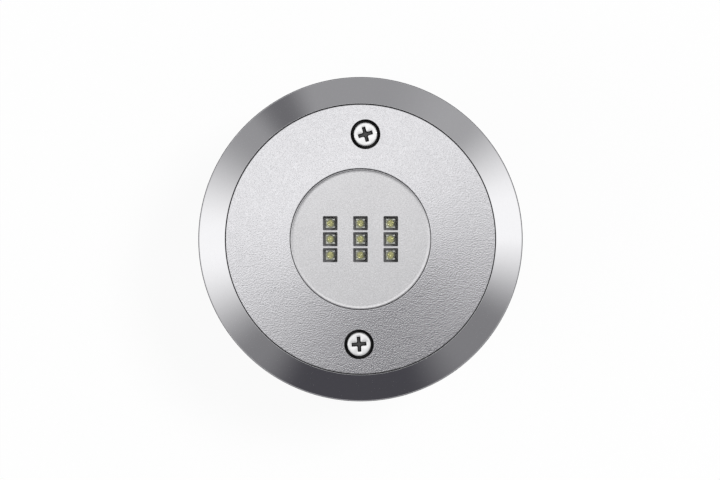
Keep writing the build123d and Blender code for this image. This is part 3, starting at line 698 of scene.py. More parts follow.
def evenly(outline, count, level):
    """As many points, evenly spaced along a closed outline from its first point on, at one height."""
    ends = outline[1:] + outline[:1]
    runs = [(end - start).length for start, end in zip(outline, ends)]
    points = []
    done = 0
    k = 0
    for step in range(count):
        along = sum(runs) * step / count
        while done + runs[k] < along:
            done += runs[k]
            k += 1
        point = outline[k].lerp(ends[k], (along - done) / runs[k])
        points.append((point.x, point.y, level))
    return points


def thread_rings(radius, depth, pitch, low, high, count):
    """Rings of a bar with a helical V thread that fades out at both ends."""
    rows = round((high - low) / pitch * thread_rows)
    rings = []
    for row in range(rows + 1):
        height = low + (high - low) * row / rows
        fade = min(1, 1.5 * (height - low) / pitch, 1.5 * (high - height) / pitch)
        ring = []
        for k in range(count):
            phase = ((height - low) / pitch - k / count) % 1
            bite = depth * (1 - abs(2 * phase - 1)) * fade
            ring.append((*on_circle(radius - bite, 360 * k / count), height))
        rings.append(ring)
    return rings


def hex_ring(width, level, limit, count):
    """Points round a hexagon with corners on the X axis, held inside a circle of a limiting radius."""
    ring = []
    for k in range(count):
        angle = 360 * k / count
        side = width / 2 / cos(radians(angle % 60 - 30))
        ring.append((*on_circle(min(side, limit), angle), level))
    return ring


def hex_chamfer(level, side, steps, count):
    """Rings of the gland's hexagon with turned corners, up to its upper face (side 1) or lower face (-1)."""
    chamfer = hex_corner - gland_hex_width / 2 + fine_round
    rise = side * chamfer * tan(radians(hex_chamfer_slope))
    shares = [step / steps for step in range(steps + 1)]
    limits = [(level - rise * (1 - share), hex_corner - chamfer * share) for share in shares]
    return [hex_ring(gland_hex_width, height, limit, count) for height, limit in limits]


def knurled_ring(radius, level, count):
    """Points round a knurled circle, two on each crest and two in each groove."""
    return [(*on_circle(radius - knurl_depth * (k // 2 % 2), 360 * k / count), level) for k in range(count)]


def looped(name, rings):
    """A closed mesh through rings that come back to the first."""
    made = bmesh.new()
    bridge(made, [[made.verts.new(point) for point in ring] for ring in rings], True)
    return mesh_from(made, name)


def joined(name, meshes):
    """One mesh from several separate ones."""
    made = bmesh.new()
    for mesh in meshes:
        made.from_mesh(mesh)
        bpy.data.meshes.remove(mesh)
    return mesh_from(made, name)


def copies(name, mesh, places):
    """One mesh with a copy of another at each place."""
    made = bmesh.new()
    for place_of_copy in places:
        copied = mesh.copy()
        copied.transform(place_of_copy)
        made.from_mesh(copied)
        bpy.data.meshes.remove(copied)
    bpy.data.meshes.remove(mesh)
    return mesh_from(made, name)


def turned_about(angle):
    """A turn about the Z axis."""
    return Matrix.Rotation(radians(angle), 4, "Z")


def spring_turns():
    """The turn of each leaf spring about the Z axis."""
    return [turned_about(k * 360 / spring_count) for k in range(spring_count)]


def at(x, y, z):
    """A shift."""
    return Matrix.Translation((x, y, z))


# Face of the lamp


def trim_ring():
    """The polished bevel ring with its lip under the face plate."""
    rise = (trim_radius - trim_bore) * tan(radians(bevel_slope))
    mouth = trim_bore - gap_lip
    outline = rounded(
        [
            (lip_bore, seat, fine_round),
            (paving_lip_radius, seat, 0),
            (paving_lip_radius, trim_low.z, fine_round),
            (trim_radius, trim_low.z, fine_round),
            (trim_radius, trim_top - rise, trim_edge_round),
            (mouth, trim_top + gap_lip * tan(radians(bevel_slope)), trim_inner_round),
            (mouth, trim_top - lip_depth, 0),
            (trim_bore, trim_top - 2 * lip_depth, 0),
            (trim_bore, seat + lip_thickness, fine_round),
            (lip_bore, seat + lip_thickness, fine_round),
        ]
    )
    made = bare("polished_trim_ring", turned("polished_trim_ring", outline, 512))
    finish_piece(made, "lamp_unit", "polished_steel", ["trim_ring"])


def screw_floor():
    """Height of a counterbore's floor."""
    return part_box("upper_screw_washer")[0].z


def counterbore_cutters(angle):
    """What one screw takes out of the face plate: a hole, and a counterbore with a rounded mouth."""
    x, y = on_circle(screw_circle, angle)
    mouth = face_height(screw_circle)
    above = mouth + 2 * mm
    lip = mouth + cut_spare
    hole_points = [(0, seat - mm), (plate_hole_radius, seat - mm), (plate_hole_radius, above), (0, above)]
    bore_points = [(0, screw_floor()), (counterbore_radius, screw_floor())]
    bore_points += [(counterbore_radius + grown, lip - down) for grown, down in quarter(counterbore_edge, 8)]
    bore_points += [(counterbore_radius + counterbore_edge, above), (0, above)]
    bore = turned("bore", bore_points, gland_segments)
    fall = (mouth - face_height(screw_circle + mm)) / mm
    for corner in bore.vertices:
        if corner.co.z > screw_floor() + tiny:
            corner.co.z -= corner.co.x * fall
    return [
        bare("hole", turned("hole", hole_points, small_segments), at(x, y, 0)),
        bare("bore", bore, at(x, y, 0) @ turned_about(angle)),
    ]


def face_plate():
    """The blasted cone with its opening, counterbores and spigot."""
    shoulder = grid_low.z + grid_shoulder
    mouth = face_opening - dish_lip
    edge = face_radius + gap_lip
    steps = 8
    between = [edge + (mouth - edge) * step / steps for step in range(1, steps)]
    outline = rounded(
        [
            (face_pocket_radius, seat + spigot_gap, fine_round),
            (spigot_radius, seat + spigot_gap, fine_round),
            (spigot_radius, seat + lip_thickness, 0),
            (face_radius, seat + lip_thickness, fine_round),
            (face_radius, trim_top - 2 * lip_depth, 0),
            (edge, trim_top - lip_depth, 0),
            (edge, face_height(edge), face_edge_round),
            *[(radius, face_height(radius), 0) for radius in between],
            (mouth, face_height(mouth), face_edge_round),
            (mouth, face_height(mouth) - lip_depth, 0),
            (face_opening, face_height(mouth) - 2 * lip_depth, 0),
            (face_opening, shoulder, 0),
            (face_pocket_radius, shoulder, 0),
        ]
    )
    made = bare("blasted_face_plate", turned("blasted_face_plate", outline, face_segments))
    cutters = [cutter for angle in screw_angles for cutter in counterbore_cutters(angle)]
    combine(made, cutters, "DIFFERENCE")
    # Painted shade: vertices of the counterbores' walls and floors are marked as recess, so the metal goes
    # nearly black there
    marks = made.data.attributes.new("recess", "FLOAT", "POINT")
    axes = [Vector(on_circle(screw_circle, angle)) for angle in screw_angles]
    near = counterbore_radius + recess_spare
    for corner, mark in zip(made.data.vertices, marks.data):
        mark.value = float(any((corner.co.xy - axis).length < near for axis in axes))
    finish_piece(made, "front_cover", "blasted_steel", ["face_plate"])


def window_places():
    """Middle of each window, row by row."""
    columns = [(k - (window_columns - 1) / 2) * window_pitch_x for k in range(window_columns)]
    rows = [(k - (window_rows - 1) / 2) * window_pitch_y for k in range(window_rows)]
    return [(x, y) for y in rows for x in columns]


def window_cutter(middle, floor):
    """A bar that cuts one window, flared at its mouth by a rounded edge."""
    levels = [(0, floor - grid_thickness - mm)]
    levels += [(grown, floor - down) for grown, down in quarter(window_edge_round, 6)]
    levels.append((window_edge_round, floor + mm))
    sections = [
        loop_of(window_width + 2 * grown, window_height + 2 * grown, window_corner + grown, level, middle)
        for grown, level in levels
    ]
    return bare("window", lofted("window", sections))


def grid_plate():
    """The satin dish with its nine windows."""
    floor = grid_top - dish_depth
    skirt = grid_low.z
    edge = grid_radius + dish_lip
    rim = edge - 2 * dish_edge_round
    foot = rim - dish_wall
    cove = cove_width / sin(radians(cove_slope))
    slopes = [cove_slope * (1 - k / 12) for k in range(13)]
    outline = rounded(
        [
            (0, floor - grid_thickness, 0),
            (grid_pocket_radius, floor - grid_thickness, 0),
            (grid_pocket_radius, skirt, fine_round),
            (grid_flange_radius, skirt, fine_round),
            (grid_flange_radius, skirt + grid_shoulder, fine_round),
            (grid_radius, skirt + grid_shoulder, 0),
            (grid_radius, grid_top - 2 * lip_depth, 0),
            (edge, grid_top - lip_depth, 0),
            (edge, grid_top, dish_edge_round),
            (rim, grid_top, dish_edge_round / 2),
            (foot, floor + cove * (1 - cos(radians(cove_slope))), 0),
        ],
        8,
    )
    for slope in slopes[1:]:
        out = foot - cove_width + cove * sin(radians(slope))
        outline.append(Vector((out, floor + cove * (1 - cos(radians(slope))))))
    outline.append(Vector((0, floor)))
    made = bare("satin_grid_plate", turned("satin_grid_plate", outline, face_segments))
    combine(made, [window_cutter(middle, floor) for middle in window_places()], "DIFFERENCE")
    merge_flat(made.data, floor)
    finish_piece(made, "lamp_unit", "satin_steel", ["grid_plate"])


def round_piece(name, node, bore, body, slot, edge=fine_round, segments=round_segments):
    """A turned ring or disc in the place of a CAD node, with rounded edges."""
    low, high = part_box(node)
    middle = (low + high) / 2
    outer = (high.x - low.x) / 2
    ends = [(bore, low.z), (outer, low.z), (outer, high.z), (bore, high.z)]
    outline = rounded([(across, level, edge if across else 0) for across, level in ends])
    finish_piece(bare(name, turned(name, outline, segments), at(middle.x, middle.y, 0)), body, slot, [node])


# Emitters


def under_windows(name, mesh, slot, node):
    """A copy of a mesh under each window, in the place of a CAD node."""
    mesh = copies(name, mesh, [at(x, y, 0) for x, y in window_places()])
    finish_piece(bare(name, mesh), "lamp_unit", slot, [node])


def led_packages():
    """Ceramic packages with softened edges."""
    levels = [(0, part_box("led_packages")[0].z), (0, package_top - package_edge)]
    levels += [(drawn, package_top - down) for drawn, down in quarter(package_edge, 3)[1:]]
    sections = []
    for drawn, level in levels:
        side = package_side - 2 * drawn
        sections.append(loop_of(side, side, package_corner, level))
    under_windows("ceramic_packages", lofted("package", sections), "led_ceramic", "led_packages")


def led_corner_pads():
    """Silver bars in the corners of each package, clear of the dome."""
    levels = [(0, package_top), (0, package_top + pad_rise), (pad_rise, package_top + 2 * pad_rise)]
    offsets = [(side * pad_offset[0], end * pad_offset[1]) for side in (-1, 1) for end in (-1, 1)]
    pads = []
    for x, y in window_places():
        for across, along in offsets:
            sections = []
            for drawn, level in levels:
                width, height = (size - 2 * drawn for size in pad_size)
                sections.append(loop_of(width, height, pad_corner, level, (x + across, y + along)))
            pads.append(lofted("pad", sections))
    made = bare("package_corner_pads", joined("package_corner_pads", pads))
    finish_piece(made, "lamp_unit", "tinned_copper")


def phosphor_faces():
    """Round phosphor faces, slightly crowned."""
    top = package_top + chip_height
    shoulder = (chip_radius, top - chip_crown, chip_crown)
    outline = rounded([(0, package_top, 0), (chip_radius, package_top, 0), shoulder, (0, top, 0)])
    under_windows("phosphor_faces", turned("face", outline, small_segments), "yellow_phosphor", "led_chips")


def led_domes():
    """Clear domes over the phosphor faces, hollow where a face stands."""
    height = dome_top - package_top
    ball = (dome_radius**2 + height**2) / (2 * height)
    widest = atan2(dome_radius, ball - height)
    inner = chip_radius + dome_gap
    ceiling = package_top + chip_height + dome_gap
    foot = package_top + dome_gap
    outline = [Vector((0, ceiling)), Vector((inner, ceiling)), Vector((inner, foot))]
    steps = 24
    for step in range(steps + 1):
        angle = widest * (1 - step / steps)
        outline.append(Vector((ball * sin(angle), dome_top - ball + ball * cos(angle))))
    outline[3].y = foot
    outline[-1].x = 0
    under_windows("clear_domes", turned("dome", outline, small_segments), "clear_silicone", "led_domes")


# Screws


def cross_outline(span, arm, inner, outer):
    """A cross with rounded corners, from the middle of the tip that points along +X."""
    half = span / 2
    side = arm / 2
    quarter = [(half, side, outer), (side, side, inner), (side, half, outer)]
    corners = [(half, 0, 0)]
    for turn in range(4):
        for across, high, size in quarter:
            point = Matrix.Rotation(pi / 2 * turn, 2) @ Vector((across, high))
            corners.append((point.x, point.y, size))
    return rounded(corners)


def cross_screw(head, shank, pitch):
    """A round-headed screw with a cross recess, its head standing on height zero and its thread below."""
    head_radius, head_height, head_round = head
    shank_radius, shank_length = shank
    count = 144
    size = head_radius / screw_head_radius
    depth = screw_thread_depth * pitch / screw_pitch
    edge = recess_edge * size
    rings = [ring_of(shank_radius - depth, -shank_length, count)]
    rings += thread_rings(shank_radius, depth, pitch, pitch / 2 - shank_length, 0, count)
    edges = [(head_radius, 0, fine_round), (head_radius, head_height, head_round)]
    profile = rounded([(0, 0, 0), *edges, (0, head_height, 0)], 8)
    rings += [ring_of(point.x, point.y, count) for point in profile[1:-1]]
    narrowed = cross_taper * size
    recess = [(2 * edge, 0), (0.6 * edge, 0.4 * edge), (0, edge), (-narrowed, cross_depth * size)]
    recess.append((-2 * narrowed, cross_depth * size))
    for grown, down in recess:
        outline = cross_outline(
            cross_span * size + 2 * grown,
            cross_arm * size + 2 * grown,
            cross_inner_round * size - grown / 2,
            cross_tip_round * size + grown / 2,
        )
        rings.append(evenly(outline, count, head_height - down))
    mesh = lofted("screw", rings)
    # Painted shade: the cross recess's walls are marked fully dark and its floor mostly dark
    marks = mesh.attributes.new("recess", "FLOAT", "POINT")
    walls = len(mesh.vertices) - 3 * count
    floor = len(mesh.vertices) - count
    shares = [0.0] * walls + [1.0] * (floor - walls) + [floor_shade_share] * count
    marks.data.foreach_set("value", shares)
    return mesh


def cover_screws():
    """The two screws of the face plate, each on its own body, with its washer."""
    for name, angle, turn in zip(screw_names, screw_angles, cross_turns):
        x, y = on_circle(screw_circle, angle)
        head = (screw_head_radius, screw_head_height, screw_head_round)
        mesh = cross_screw(head, (screw_shank_radius, screw_shank_length), screw_pitch)
        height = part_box(f"{name}_cover_screw")[1].z - screw_head_height
        made = bare(f"{name}_pan_head_screw", mesh, at(x, y, height) @ turned_about(turn))
        finish_piece(made, f"{name}_screw", "screw_steel", [f"{name}_cover_screw"])
        bore = screw_hole_radius
        washer = (f"{name}_rubber_washer", f"{name}_screw_washer", bore, f"{name}_washer", "black_rubber")
        round_piece(*washer, segments=96)


def spring_screws():
    """The screws of the leaf springs."""
    head = (small_head_radius, small_head_height, small_head_height / 2)
    screw = cross_screw(head, (small_shank_radius, small_shank_length), small_pitch)
    out = at(pad_face + spring_thickness, 0, spring_screw_height()) @ Matrix.Rotation(pi / 2, 4, "Y")
    mesh = copies("leaf_spring_screws", screw, [turn @ out for turn in spring_turns()])
    finish_piece(bare("leaf_spring_screws", mesh), "lamp_unit", "screw_steel", ["spring_screws"])


def socket_screw():
    """A socket-head screw with a knurled head, its head standing on height zero and its thread below."""
    count = 4 * knurl_count
    depth = screw_thread_depth * small_pitch / screw_pitch
    tip = small_pitch / 2 - rear_shank_length
    rings = [ring_of(rear_shank_radius - depth, -rear_shank_length, count)]
    rings += thread_rings(rear_shank_radius, depth, small_pitch, tip, 0, count)
    rings.append(ring_of(rear_head_radius - 2 * knurl_depth, 0, count))
    for level in (2 * knurl_depth, rear_head_height - 3 * knurl_depth):
        rings.append(knurled_ring(rear_head_radius, level, count))
    rings.append(ring_of(rear_head_radius - 3 * knurl_depth, rear_head_height, count))
    for grown, down in ((knurl_depth, 0), (0, knurl_depth), (0, rear_socket_depth)):
        width = rear_socket_width + 2 * grown
        rings.append(hex_ring(width, rear_head_height - down, rear_head_radius, count))
    return lofted("socket_screw", rings)


def rear_screws():
    """The four screws of the rear cover, heads down."""
    floor = rear_low.z + rear_head_sink
    head_down = Matrix.Rotation(pi, 4, "X")
    places = [at(*on_circle(rear_screw_circle, angle), floor) @ head_down for angle in rear_screw_angles()]
    mesh = copies("socket_head_screws", socket_screw(), places)
    finish_piece(bare("socket_head_screws", mesh), "lamp_unit", "screw_steel", ["rear_screws"])


def rear_screw_angles():
    """Direction of each rear screw."""
    return [(k + 1 / 2) * 360 / rear_screw_count for k in range(rear_screw_count)]


# Housing


def spring_screw_height():
    """Height of each spring's screw."""
    return seat - flange_thickness - pad_drop - pad_height / 2


def fin_mesh():
    """All the fins, each with a rounded tip and flared at its root."""
    half = fin_thickness / 2
    root = core_radius - join_depth
    plan = rounded(
        [
            (root, -half - 2 * fin_root_round, 0),
            (core_radius, -half - fin_root_round, 0),
            (core_radius + fin_root_round, -half, fin_root_round),
            (fin_radius, -half, fin_tip_round),
            (fin_radius, half, fin_tip_round),
            (core_radius + fin_root_round, half, fin_root_round),
            (core_radius, half + fin_root_round, 0),
            (root, half + 2 * fin_root_round, 0),
        ]
    )
    low = rear_top + foot_flange_thickness - join_overlap
    high = seat - flange_thickness + join_overlap
    sections = [[(point.x, point.y, level) for point in plan] for level in (low, high)]
    places = [turned_about((k + 1 / 2) * 360 / fin_count) for k in range(fin_count)]
    return copies("fins", lofted("fin", sections), places)


def boss_and_pad_meshes():
    """The two screw bosses and the three spring pads."""
    bottom = cover_hole_low() - boss_floor
    top = seat - flange_thickness + join_overlap
    outline = rounded([(0, bottom, 0), (boss_radius, bottom, mm), (boss_radius, top, 0), (0, top, 0)])
    meshes = []
    for angle in screw_angles:
        boss = turned("boss", outline, small_segments)
        boss.transform(at(*on_circle(screw_circle, angle), 0))
        meshes.append(boss)
    inner = core_radius - join_depth
    draws = [(0, inner), (0, pad_face - cast_round), (cast_round, pad_face)]
    for turn in spring_turns():
        sections = []
        for drawn, reach in draws:
            plan = loop_of(pad_width - 2 * drawn, pad_height - 2 * drawn, mm, 0)
            sections.append([(reach, x, spring_screw_height() + y) for x, y, z in plan])
        pad = lofted("pad", sections)
        pad.transform(turn)
        meshes.append(pad)
    return meshes


def cover_hole_low():
    """Height of the floor of each hole for a cover screw."""
    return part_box("upper_cover_screw")[0].z - screw_hole_spare


def drill(radius, low, high, x, y):
    """A round cutter."""
    mesh = turned("drill", [(0, low), (radius, low), (radius, high), (0, high)], drill_segments)
    mesh.transform(at(x, y, 0))
    return mesh


def housing_cutters():
    """Every hole in the housing."""
    above = seat + mm
    board_hole = board_top - board_screw_length - board_screw_spare
    standoff_hole = chamber_top + small_hole_depth
    rear_angles = rear_screw_angles()
    rows = [
        (screw_hole_radius, cover_hole_low(), above, screw_circle, screw_angles),
        (board_hole_radius, board_hole, above, board_screw_circle, board_screw_angles),
        (small_hole_radius, rear_top - mm, rear_top + rear_hole_depth, rear_screw_circle, rear_angles),
        (small_hole_radius, chamber_top - mm, standoff_hole, standoff_circle, standoff_angles),
    ]
    meshes = [drill(lead_hole[2], chamber_top - mm, above, lead_hole[0], lead_hole[1])]
    for radius, low, high, circle, angles in rows:
        meshes += [drill(radius, low, high, *on_circle(circle, angle)) for angle in angles]
    for turn in spring_turns():
        hole = drill(small_hole_radius, pad_face - small_hole_depth, pad_face + mm, 0, 0)
        hole.transform(Matrix.Rotation(pi / 2, 4, "Y"))
        hole.transform(turn @ at(0, 0, spring_screw_height()))
        meshes.append(hole)
    return meshes


def housing():
    """The die-cast housing: top flange, finned core, partition and driver chamber."""
    fins_low = rear_top + foot_flange_thickness
    flange_low = seat - flange_thickness
    outline = rounded(
        [
            (0, chamber_top, 0),
            (chamber_radius, chamber_top, mm),
            (chamber_radius, rear_top, cast_round),
            (rear_radius, rear_top, cast_round),
            (rear_radius, fins_low, cast_round),
            (core_radius, fins_low, mm),
            (core_radius, flange_low, mm),
            (flange_radius, flange_low, cast_round),
            (flange_radius, seat, cast_round),
            (pocket_radius, seat, fine_round),
            (pocket_radius, pocket_floor, fine_round),
            (0, pocket_floor, 0),
        ]
    )
    made = bare("finned_housing", turned("finned_housing", outline, body_segments))
    combine(made, [bare("fins", fin_mesh())], "UNION")
    combine(made, [bare("bosses", joined("bosses", boss_and_pad_meshes()))], "UNION")
    combine(made, [bare("holes", joined("holes", housing_cutters()))], "DIFFERENCE")
    finish_piece(made, "lamp_unit", "cast_aluminium", ["housing"])


# Rear cover, cable gland and breather


def rear_cover():
    """The round cover with its seal groove, gland boss and counterbored holes."""
    low = rear_low.z
    boss_top = rear_top + rear_boss_height
    groove_low = rear_top - groove_depth
    outline = rounded(
        [
            (gland_thread_hole, low, cast_round),
            (rear_radius, low, 2 * cast_round),
            (rear_radius, rear_top, cast_round),
            (groove_radius + groove_width / 2, rear_top, fine_round),
            (groove_radius + groove_width / 2, groove_low, fine_round),
            (groove_radius - groove_width / 2, groove_low, fine_round),
            (groove_radius - groove_width / 2, rear_top, fine_round),
            (rear_boss_radius, rear_top, mm),
            (rear_boss_radius, boss_top, cast_round),
            (gland_thread_hole, boss_top, cast_round),
        ]
    )
    made = bare("rear_cover_plate", turned("rear_cover_plate", outline, body_segments))
    well_top = low + rear_head_sink
    well = rounded(
        [
            (0, low - mm, 0),
            (rear_well_radius + 2 * fine_round, low - mm, 0),
            (rear_well_radius + 2 * fine_round, low, 0),
            (rear_well_radius, low + 2 * fine_round, 0),
            (rear_well_radius, well_top, 0),
            (rear_hole_radius, well_top, 0),
            (rear_hole_radius, rear_top + mm, 0),
            (0, rear_top + mm, 0),
        ]
    )
    places = [at(*on_circle(rear_screw_circle, angle), 0) for angle in rear_screw_angles()]
    holes = copies("wells", turned("well", well, small_segments), places)
    vent = drill(vent_hole_radius, low - mm, rear_top + mm, *vent_place)
    combine(made, [bare("holes", joined("holes", [holes, vent]))], "DIFFERENCE")
    finish_piece(made, "lamp_unit", "cast_aluminium", ["rear_cover"])


def gland_body():
    """The gland's body: a hexagon with turned corners between two threads."""
    count = 192
    low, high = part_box("gland_body")
    hex_low = low.z + gland_neck_length
    hex_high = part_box("gland_washer")[0].z
    seat_top = low.z + gland_seat_depth
    rings = [
        ring_of(gland_bore_radius, high.z, count),
        ring_of(gland_bore_radius, seat_top, count),
        ring_of(gland_seat_radius, seat_top, count),
        ring_of(gland_seat_radius, low.z + fine_round, count),
        ring_of(gland_seat_radius + fine_round, low.z, count),
        ring_of(gland_neck_radius - gland_thread_depth, low.z, count),
    ]
    rings += thread_rings(gland_neck_radius, gland_thread_depth, gland_pitch, low.z + mm / 2, hex_low, count)
    rings += hex_chamfer(hex_low, -1, 6, count)[::-1]
    rings += hex_chamfer(hex_high, 1, 6, count)
    rings.append(ring_of(gland_thread_radius, hex_high, count))
    top = high.z - mm / 2
    rings += thread_rings(gland_thread_radius, gland_thread_depth, gland_pitch, hex_high + mm, top, count)
    rings.append(ring_of(gland_thread_radius - gland_thread_depth, high.z, count))
    made = bare("gland_hexagon_body", looped("gland_hexagon_body", rings))
    finish_piece(made, "lamp_unit", "nickel_brass", ["gland_body"])


def gland_nut():
    """The gland's domed nut."""
    count = 192
    low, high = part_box("gland_nut")
    floor = low.z + gland_nut_floor
    rings = [
        ring_of(gland_nut_bore, high.z - fine_round, count),
        ring_of(gland_nut_bore, floor, count),
        ring_of(gland_nut_mouth, floor, count),
        ring_of(gland_nut_mouth, low.z + 2 * fine_round, count),
        ring_of(gland_nut_mouth + 2 * fine_round, low.z, count),
    ]
    for up, inwards in quarter(gland_dome, 10):
        rings.append(hex_ring(gland_hex_width, low.z + up, hex_corner - inwards, count))
    rings += hex_chamfer(high.z, 1, 10, count)
    rings.append(ring_of(gland_nut_bore + fine_round, high.z, count))
    made = bare("gland_domed_nut", looped("gland_domed_nut", rings))
    finish_piece(made, "gland_nut", "nickel_brass", ["gland_nut"])


def vent_plug():
    """The slotted breather plug with a knurled head."""
    count = 4 * knurl_count
    low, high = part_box("vent_plug")
    under = low.z + vent_head_height
    rings = [ring_of(vent_head_radius - 4 * knurl_depth, low.z, count)]
    for level in (low.z + 4 * knurl_depth, under - 2 * knurl_depth):
        rings.append(knurled_ring(vent_head_radius, level, count))
    rings.append(ring_of(vent_head_radius - 2 * knurl_depth, under, count))
    depth = screw_thread_depth * vent_pitch / screw_pitch
    rings += thread_rings(vent_thread_radius, depth, vent_pitch, under, high.z - mm / 4, count)
    rings.append(ring_of(vent_thread_radius - depth, high.z, count))
    made = bare("breather_plug", lofted("breather_plug", rings))
    flare = [(vent_slot_width / 2 + fine_round, low.z - mm), (vent_slot_width / 2 + fine_round, low.z)]
    flare += [(vent_slot_width / 2, low.z + fine_round), (vent_slot_width / 2, low.z + vent_slot_depth)]
    profile = [(-across, level) for across, level in flare] + flare[::-1]
    reach = vent_head_radius + mm
    slot = lofted("slot", [[(x, across, level) for across, level in profile] for x in (-reach, reach)])
    combine(made, [bare("slot", slot)], "DIFFERENCE")
    made.data.transform(at(*vent_place, 0))
    finish_piece(made, "lamp_unit", "black_polyamide", ["vent_plug"])


# Sleeve and leaf springs


def arch(width, height, reach):
    """A cutter along X with a half-round top."""
    middle = height - width / 2
    steps = 24
    profile = [(-width / 2, -mm)]
    for step in range(steps + 1):
        angle = pi * (1 - step / steps)
        profile.append((width / 2 * cos(angle), middle + width / 2 * sin(angle)))
    profile.append((width / 2, -mm))
    return lofted("arch", [[(x, across, level) for across, level in profile] for x in (-reach, reach)])


def sleeve():
    """The black sleeve with its collar, keying grooves and notches."""
    edge = sleeve_edge_round
    chamfer = foot_chamfer
    groove = sleeve_radius - sleeve_groove_depth
    corners = [
        (sleeve_bore, chamfer, edge / 2),
        (sleeve_bore + chamfer, 0, edge / 2),
        (sleeve_radius - chamfer, 0, edge / 2),
        (sleeve_radius, chamfer, edge / 2),
    ]
    for low in groove_lows:
        high = low + sleeve_groove_width
        slot_corners = ((sleeve_radius, low), (groove, low), (groove, high), (sleeve_radius, high))
        corners += [(*corner, edge) for corner in slot_corners]
    corners += [
        (sleeve_radius, sleeve_top - collar_thickness, mm),
        (collar_radius, sleeve_top - collar_thickness, edge),
        (collar_radius, sleeve_top, edge),
        (sleeve_bore, sleeve_top, edge),
    ]
    made = bare("ground_sleeve", turned("ground_sleeve", rounded(corners), body_segments))
    reach = sleeve_radius + mm
    conduit = arch(*conduit_notch, reach)
    drain = arch(*drain_notch, reach)
    drain.transform(turned_about(90))
    combine(made, [bare("conduit", conduit), bare("drain", drain)], "DIFFERENCE")
    finish_piece(made, "sleeve", "black_polyamide", ["sleeve"])


def leaf_mesh():
    """One bowed leaf spring, with rounded ends."""
    back = pad_face + spring_thickness / 2
    pad_low = seat - flange_thickness - pad_drop - pad_height
    bow = spring_bow_radius
    path = rounded(
        [
            (back, pad_low + pad_height, 0),
            (back, pad_low, spring_bend_radius),
            (bow, pad_low - spring_bow_drop, spring_bend_radius),
            (bow - spring_tip_inset, pad_low - spring_tip_drop, 0),
        ],
        12,
    )
    fine = []
    for start, end in zip(path, path[1:]):
        steps = max(1, round((end - start).length / (mm / 2)))
        fine += [start.lerp(end, step / steps) for step in range(steps)]
    fine.append(path[-1])
    lengths = [0]
    for start, end in zip(fine, fine[1:]):
        lengths.append(lengths[-1] + (end - start).length)
    sections = []
    for k, point in enumerate(fine):
        along = (fine[min(k + 1, len(fine) - 1)] - fine[max(k - 1, 0)]).normalized()
        out = Vector((-along.y, along.x))
        from_end = min(lengths[k], lengths[-1] - lengths[k])
        drawn = spring_end_round - sqrt(spring_end_round**2 - max(0, spring_end_round - from_end) ** 2)
        plan = loop_of(spring_width - 2 * drawn, spring_thickness, spring_thickness / 3, 0)
        section = []
        for across, thick, z in plan:
            section.append((point.x + out.x * thick, across, point.y + out.y * thick))
        sections.append(section)
    return lofted("leaf", sections)


def retaining_springs():
    """The bowed leaf springs."""
    made = bare("leaf", leaf_mesh())
    hole = drill(small_hole_radius + mm / 4, 0, sleeve_radius, 0, 0)
    hole.transform(at(0, 0, spring_screw_height()) @ Matrix.Rotation(pi / 2, 4, "Y"))
    combine(made, [bare("hole", hole)], "DIFFERENCE")
    leaf = made.data.copy()
    bpy.data.objects.remove(made)
    mesh = copies("leaf_springs", leaf, spring_turns())
    finish_piece(bare("leaf_springs", mesh), "lamp_unit", "spring_steel", ["retaining_springs"])


def carried_over():
    """The rest of the CAD nodes, with their slots' finishes and slightly softened edges."""
    slots = {row["node"]: row["material_slot"] for row in frame["record"]["subparts"]}
    for name, made in frame["nodes"].items():
        if made.hide_render:
            continue
        made.data.materials.clear()
        made.data.materials.append(materials[slots[name]])
        weld = made.modifiers.new("weld", "WELD")
        weld.merge_threshold = tiny
        flat = made.modifiers.new("flat", "DECIMATE")
        flat.decimate_type = "DISSOLVE"
        flat.angle_limit = radians(flat_angle)
        edge = made.modifiers.new("edges", "BEVEL")
        edge.width = carried_edge
        edge.segments = 2
        edge.limit_method = "ANGLE"
        edge.angle_limit = radians(carried_edge_angle)
        edge.harden_normals = True


trim_ring()
face_plate()
grid_plate()
round_piece("trim_gap_bead", "trim_bead", face_radius + bead_gap, "lamp_unit", "black_rubber", bead_round)
round_piece("grid_gap_bead", "grid_bead", grid_radius + bead_gap, "lamp_unit", "black_rubber", bead_round)
round_piece("ground_edge_pane", "window_pane", 0, "lamp_unit", "clear_glass", 2 * fine_round)
led_packages()
led_corner_pads()
phosphor_faces()
led_domes()
cover_screws()
housing()
rear_cover()
rear_screws()
gland_body()
gland_nut()
gland_washer = ("gland_flat_washer", "gland_washer", gland_thread_hole, "lamp_unit", "black_rubber")
round_piece(*gland_washer, segments=gland_segments)
gland_seal = ("gland_cable_seal", "gland_seal", cable_radius, "lamp_unit", "black_rubber", cable_seal_round)
round_piece(*gland_seal, segments=gland_segments)
gland_ring = ("gland_thrust_ring", "gland_slip_ring", gland_ring_bore, "gland_ring", "black_polyamide")
round_piece(*gland_ring, segments=gland_segments)
vent_plug()
sleeve()
round_piece("foam_bedding", "bedding_gasket", sleeve_bore + foam_inset, "sleeve", "black_rubber", foam_round)
retaining_springs()
spring_screws()
carried_over()


# Studio


def floor_material():
    """A white floor that the camera and metal see nearly bright, and that keeps the object's shadow."""
    made, tree = blank("studio_floor")
    paper = spread(tree, grain(tree, 2 * mm), *paper_shades)
    colour = add(tree, "CombineColor", {0: paper, 1: paper, 2: paper})
    matt = add(tree, "BsdfDiffuse", {"Color": colour.outputs[0]})
    glow = add(tree, "Emission", {"Color": white, "Strength": 1.0})
    share = maths(tree, "MULTIPLY", seen_directly(tree), paper_glow)
    lit = mixed(tree, share, matt.outputs[0], glow.outputs[0])
    below = add(tree, "NewGeometry").outputs["Backfacing"]
    output(tree, mixed(tree, below, lit, see_through(tree)))
    return made


